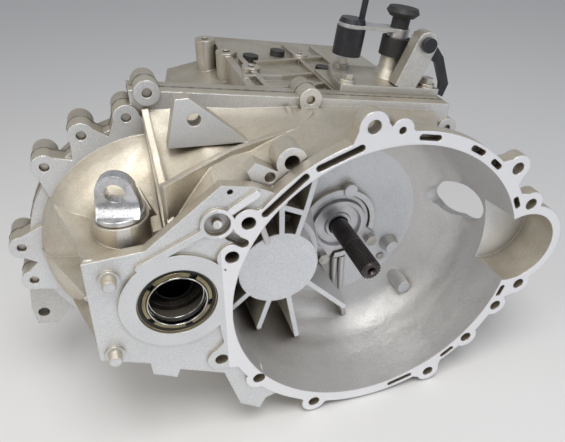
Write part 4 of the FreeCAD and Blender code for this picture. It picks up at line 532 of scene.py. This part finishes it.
# %% Cast pegs
PEG_PLACES = ((-258.0, 69.0), (-266.0, -16.0))
PLATE_FACE = 3.0
PEG_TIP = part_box("plate_studs")[0][1] / MM
CENTRE_R = 0.1                      # keeps the profile off its own axis
PEG = (
    (CENTRE_R, PLATE_FACE + 1.0), (8.4, PLATE_FACE + 1.0), (8.0, PLATE_FACE - 0.2), (6.8, PLATE_FACE - 1.4),
    (6.3, PLATE_FACE - 3.0), (6.1, PEG_TIP + 1.6), (5.6, PEG_TIP + 0.6), (4.6, PEG_TIP + 0.1),
    (CENTRE_R, PEG_TIP))
for number, (x, z) in enumerate(PEG_PLACES):
    peg = spin_profile("flange_peg_%d" % number, PEG, (x, 0.0, z), steps=40)
    finish_piece(peg, "housing", CAST)
    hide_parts("plate_studs")

# %% [markdown]
# ### The lifting eye
# A forged steel bracket: a round foot with one flat side stands on the boss, and a thick upright with a
# hole for the hoist's hook flows out of it in a cove.  The upright's face is a grid of rings between the
# hole and the outline, and the rings below the hole are pulled forward over the foot, which makes the cove.

# %% The upright with its hole
HOLE_AT, HOLE_R, EYE_R, EYE_THICK = 24.0, 8.6, 16.6, 12.0
SIDE_HALF = 17.0                    # half the width, level with the hole
FLARE_RIGHT, FLARE_LEFT = 5.0, 0.5  # how far each side widens towards the foot
CORNER_AT = 28.0                    # the farthest corner from the hole's centre
UPRIGHT_END = 4.0                   # the height, inside the foot, where the upright ends
COVE_REACH, COVE_CURVE = 11.0, 2.4
COVE_RISE = 2.0                     # how far above the hole's lowest point the cove starts
LEAST_SLOPE = 0.01                  # keeps a reach finite
STEPS, LOOPS = 72, 6
ANGLES = [2 * math.pi * step / STEPS for step in range(STEPS)]


def outline_reach(angle):
    """Distance from the hole's centre to the upright's outline, in the direction of the angle."""
    across, up = math.cos(angle), math.sin(angle)
    if up >= 0:
        return EYE_R
    side = SIDE_HALF + (FLARE_RIGHT if across > 0 else FLARE_LEFT) * -up
    down = (HOLE_AT - UPRIGHT_END) / max(-up, LEAST_SLOPE)
    return max(min(down, side / max(abs(across), LEAST_SLOPE), CORNER_AT), EYE_R)


def upright(form):
    """The face as rings from the hole to the outline, then the flat back, closed round."""
    cove_top = HOLE_AT - HOLE_R + COVE_RISE
    loops = []
    for number in range(LOOPS):
        loop = []
        for angle in ANGLES:
            reach = HOLE_R + (outline_reach(angle) - HOLE_R) * number / (LOOPS - 1)
            x, z = reach * math.cos(angle), HOLE_AT + reach * math.sin(angle)
            under = min(max((cove_top - z) / (cove_top - UPRIGHT_END), 0.0), 1.0)
            loop.append(form.verts.new((x, -EYE_THICK / 2 - COVE_REACH * under ** COVE_CURVE, z)))
        loops.append(loop)
    for loop in (loops[-1], loops[0]):
        loops.append([form.verts.new((v.co.x, EYE_THICK / 2, v.co.z)) for v in loop])
    for a, b in zip(loops, loops[1:] + loops[:1]):
        join_loops(form, a, b)


print("lower right corner:", round(outline_reach(-math.pi / 4), 1), "mm from the hole's centre")

# %% The foot and the side lug
FOOT_FLAT = -17.0
FOOT_PROFILE = ((0.0, 21.6), (0.6, 22.4), (4.6, 22.4), (5.2, 21.8))     # height and radius
LUG = ((-22.0, 6.0), (-15.5, 6.0), (-15.5, 15.0), (-22.0, 15.0))
LUG_HEIGHTS, LUG_DRAFT = (1.0, 12.0), 0.98


def solid_of_loops(form, loops):
    for a, b in zip(loops, loops[1:]):
        join_loops(form, a, b)
    form.faces.new(loops[0][::-1])
    form.faces.new(loops[-1])


def foot(form):
    solid_of_loops(form, [
        [form.verts.new((max(r * math.cos(angle), FOOT_FLAT), r * math.sin(angle), z)) for angle in ANGLES]
        for z, r in FOOT_PROFILE])


def lug(form):
    low, high = LUG_HEIGHTS
    solid_of_loops(form, [
        [form.verts.new((x, y, low)) for x, y in LUG],
        [form.verts.new((x * LUG_DRAFT, y, high)) for x, y in LUG]])


print("foot loops:", len(FOOT_PROFILE))

# %% Lifting bracket
FOOT_AT = Vector((-240.0, 45.0, 104.3)) * MM
BRACKET_TURN = Matrix.Rotation(math.radians(-14), 4, "Z")
EDGE_ROUNDING, ROUND_ABOVE = 0.9, math.radians(38)
form = bmesh.new()
for make in (upright, foot, lug):
    make(form)
bracket = piece_from(form, "lifting_bracket", Matrix.Translation(FOOT_AT) @ BRACKET_TURN)
rounding = bracket.modifiers.new("rounding", "BEVEL")
rounding.width, rounding.segments = EDGE_ROUNDING * MM, 2
rounding.limit_method, rounding.angle_limit = "ANGLE", ROUND_ABOVE
smooth(bracket)
FORGED = small_finish(
    "forged_bracket", (0.66, 0.67, 0.7), (0.36, 0.34, 0.31), 0.3, 0.92, 0.0012, 0.0003,
    worn_and_highlight=(0.85, 0.86, 0.88))
finish_piece(bracket, "housing", FORGED)
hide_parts("lifting_eye")

# %% [markdown]
# ### The sealant bead
# The two halves of the case are sealed with liquid gasket, and a thin bead of it is pressed out all along
# the joint.  A curve with a round bevel follows the joint's outline; its thickness wanders a little, as
# a pressed bead's does.

# %% The edges of the joint
SAME_PLANE = 2e-5
FLAT_FACE = 0.99


def rim_edges(mesh, height):
    """Neighbours of each point, along the edges between a flat face in a plane and the wall beside it."""
    keys = [tuple(round(c, 5) for c in vertex.co) for vertex in mesh.vertices]
    sides, neighbours = {}, {}
    for polygon in mesh.polygons:
        for pair in polygon.edge_keys:
            a, b = [keys[i] for i in pair]
            if a != b and all(abs(point[1] - height) < SAME_PLANE for point in (a, b)):
                sides.setdefault(frozenset((a, b)), []).append(abs(polygon.normal.y) > FLAT_FACE)
    for pair, flats in sides.items():
        if any(flats) and not all(flats):
            a, b = pair
            neighbours.setdefault(a, []).append(b)
            neighbours.setdefault(b, []).append(a)
    return neighbours


JOINT_PLANE = 0.130
NEIGHBOURS = rim_edges(NODES["clutch_housing"].data, JOINT_PLANE)
print("points on the joint's edges:", len(NEIGHBOURS))

# %% The longest way round, in even steps
BEAD_PITCH = 0.003


def path_length(path):
    return sum(math.dist(a, b) for a, b in zip(path, path[1:]))


def longest_path(neighbours):
    best, seen = [], set()
    for first in neighbours:
        path, onward = [], [] if first in seen else [first]
        while onward:
            path.append(onward[0])
            seen.add(onward[0])
            onward = [point for point in neighbours[onward[0]] if point not in seen]
        best = max(best, path, key=path_length)
    return best


def even_steps(path, pitch):
    """Points at an even pitch along a path."""
    points, left = [path[0]], pitch
    for a, b in zip(path, path[1:]):
        length = math.dist(a, b)
        done = 0.0
        while length - done > left:
            done += left
            points.append(tuple(p + (q - p) * done / length for p, q in zip(a, b)))
            left = pitch
        left -= length - done
    return points


outline = even_steps(longest_path(NEIGHBOURS), BEAD_PITCH)
print("joint outline:", len(outline), "points")

# %% Sealant bead
BEAD_R = 0.0009
BEAD_ROOM = BEAD_R * 1.2            # keeps the bead inside the frame's box
BEAD_MEAN, BEAD_SWING = 0.8, 0.35   # the share of its radius, and how far it wanders
BEAD_WAVES = 1.7, 0.37              # the two waves that it wanders by, in radians a point


def bead(name, points, radius):
    curve = bpy.data.curves.new(name, "CURVE")
    curve.dimensions = "3D"
    curve.bevel_depth, curve.bevel_resolution, curve.resolution_u = radius, 2, 2
    spline = curve.splines.new("POLY")
    spline.points.add(len(points) - 1)
    for i, (point, co) in enumerate(zip(spline.points, points)):
        point.co = (*co, 1.0)
        quick, slow = [math.sin(i * wave) for wave in BEAD_WAVES]
        point.radius = BEAD_MEAN + BEAD_SWING * quick * slow
    piece = bpy.data.objects.new(name, curve)
    bpy.context.scene.collection.objects.link(piece)
    return piece


low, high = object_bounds()
inset = [
    tuple(min(max(c, a + BEAD_ROOM), b - BEAD_ROOM) for c, a, b in zip(point, low, high))
    for point in outline]
SEALANT = small_finish(
    "sealant", (0.13, 0.125, 0.12), (0.06, 0.058, 0.055), 0.42, 0.0, 0.0006, 0.0002, worn_and_highlight=(0.2, 0.19, 0.18))
finish_piece(bead("sealant_bead", inset, BEAD_R), "housing", SEALANT)

# %% [markdown]
# ## Camera
# The camera stands in front of the engine face, high and to the left, so that the bell opens towards it.

# %% Camera
camera_data = bpy.data.cameras.new("camera")
camera_data.lens = 35.68
camera_data.sensor_width = 36.0
camera_data.clip_start = 0.01
camera = bpy.data.objects.new("camera", camera_data)
camera.location = (-0.2294, -0.3895, 0.3680)
look = Vector((0.2528, 0.7958, -0.5503))
camera.rotation_euler = look.to_track_quat("-Z", "Y").to_euler()
bpy.context.scene.collection.objects.link(camera)
bpy.context.scene.camera = camera
print("camera at", tuple(camera.location))

# %% [markdown]
# ## Floor and light
# A pale floor and three softboxes are enough.  The world gives an even fill, so that metal has something
# pale to reflect, and the softboxes stay low in power, so that no pale surface burns out.

# %% Floor
FLOOR_GAP = 0.002
FLOOR_Z = CAD_BOX[0][2] - FLOOR_GAP
bpy.ops.mesh.primitive_plane_add(size=12, location=(0, 0, FLOOR_Z))
floor = bpy.context.object
floor.name = "floor"
paper = new_material("paper", Roughness=0.9)[0]
paper.node_tree.nodes["Principled BSDF"].inputs["Base Color"].default_value = (0.8, 0.8, 0.8, 1)
floor.data.materials.append(paper)
print("floor at", round(FLOOR_Z, 4))

# %% Lights
def softbox(name, place, aim, size, power, colour):
    data = bpy.data.lights.new(name, "AREA")
    data.energy = power
    data.size = size
    data.color = colour
    lamp = bpy.data.objects.new(name, data)
    lamp.location = place
    lamp.rotation_euler = (Vector(aim) - Vector(place)).to_track_quat("-Z", "Y").to_euler()
    bpy.context.scene.collection.objects.link(lamp)


world = bpy.data.worlds.new("room")
bpy.context.scene.world = world
world.use_nodes = True
background = world.node_tree.nodes["Background"]
background.inputs["Color"].default_value = (0.93, 0.95, 1.0, 1)
background.inputs["Strength"].default_value = 0.36
softbox("softbox_top", (-0.15, -0.55, 1.45), (-0.08, 0.1, 0), 0.8, 15.0, (1.0, 0.985, 0.96))
softbox("softbox_left", (-1.1, -0.35, 0.8), (-0.15, 0.1, 0), 0.6, 4.0, (1.0, 0.96, 0.88))
softbox("softbox_right", (0.8, -0.9, 0.5), (0.0, 0.1, 0), 0.5, 2.0, (0.92, 0.96, 1.0))
bpy.context.scene.view_settings.view_transform = "Standard"
print("lights:", len(bpy.data.lights))
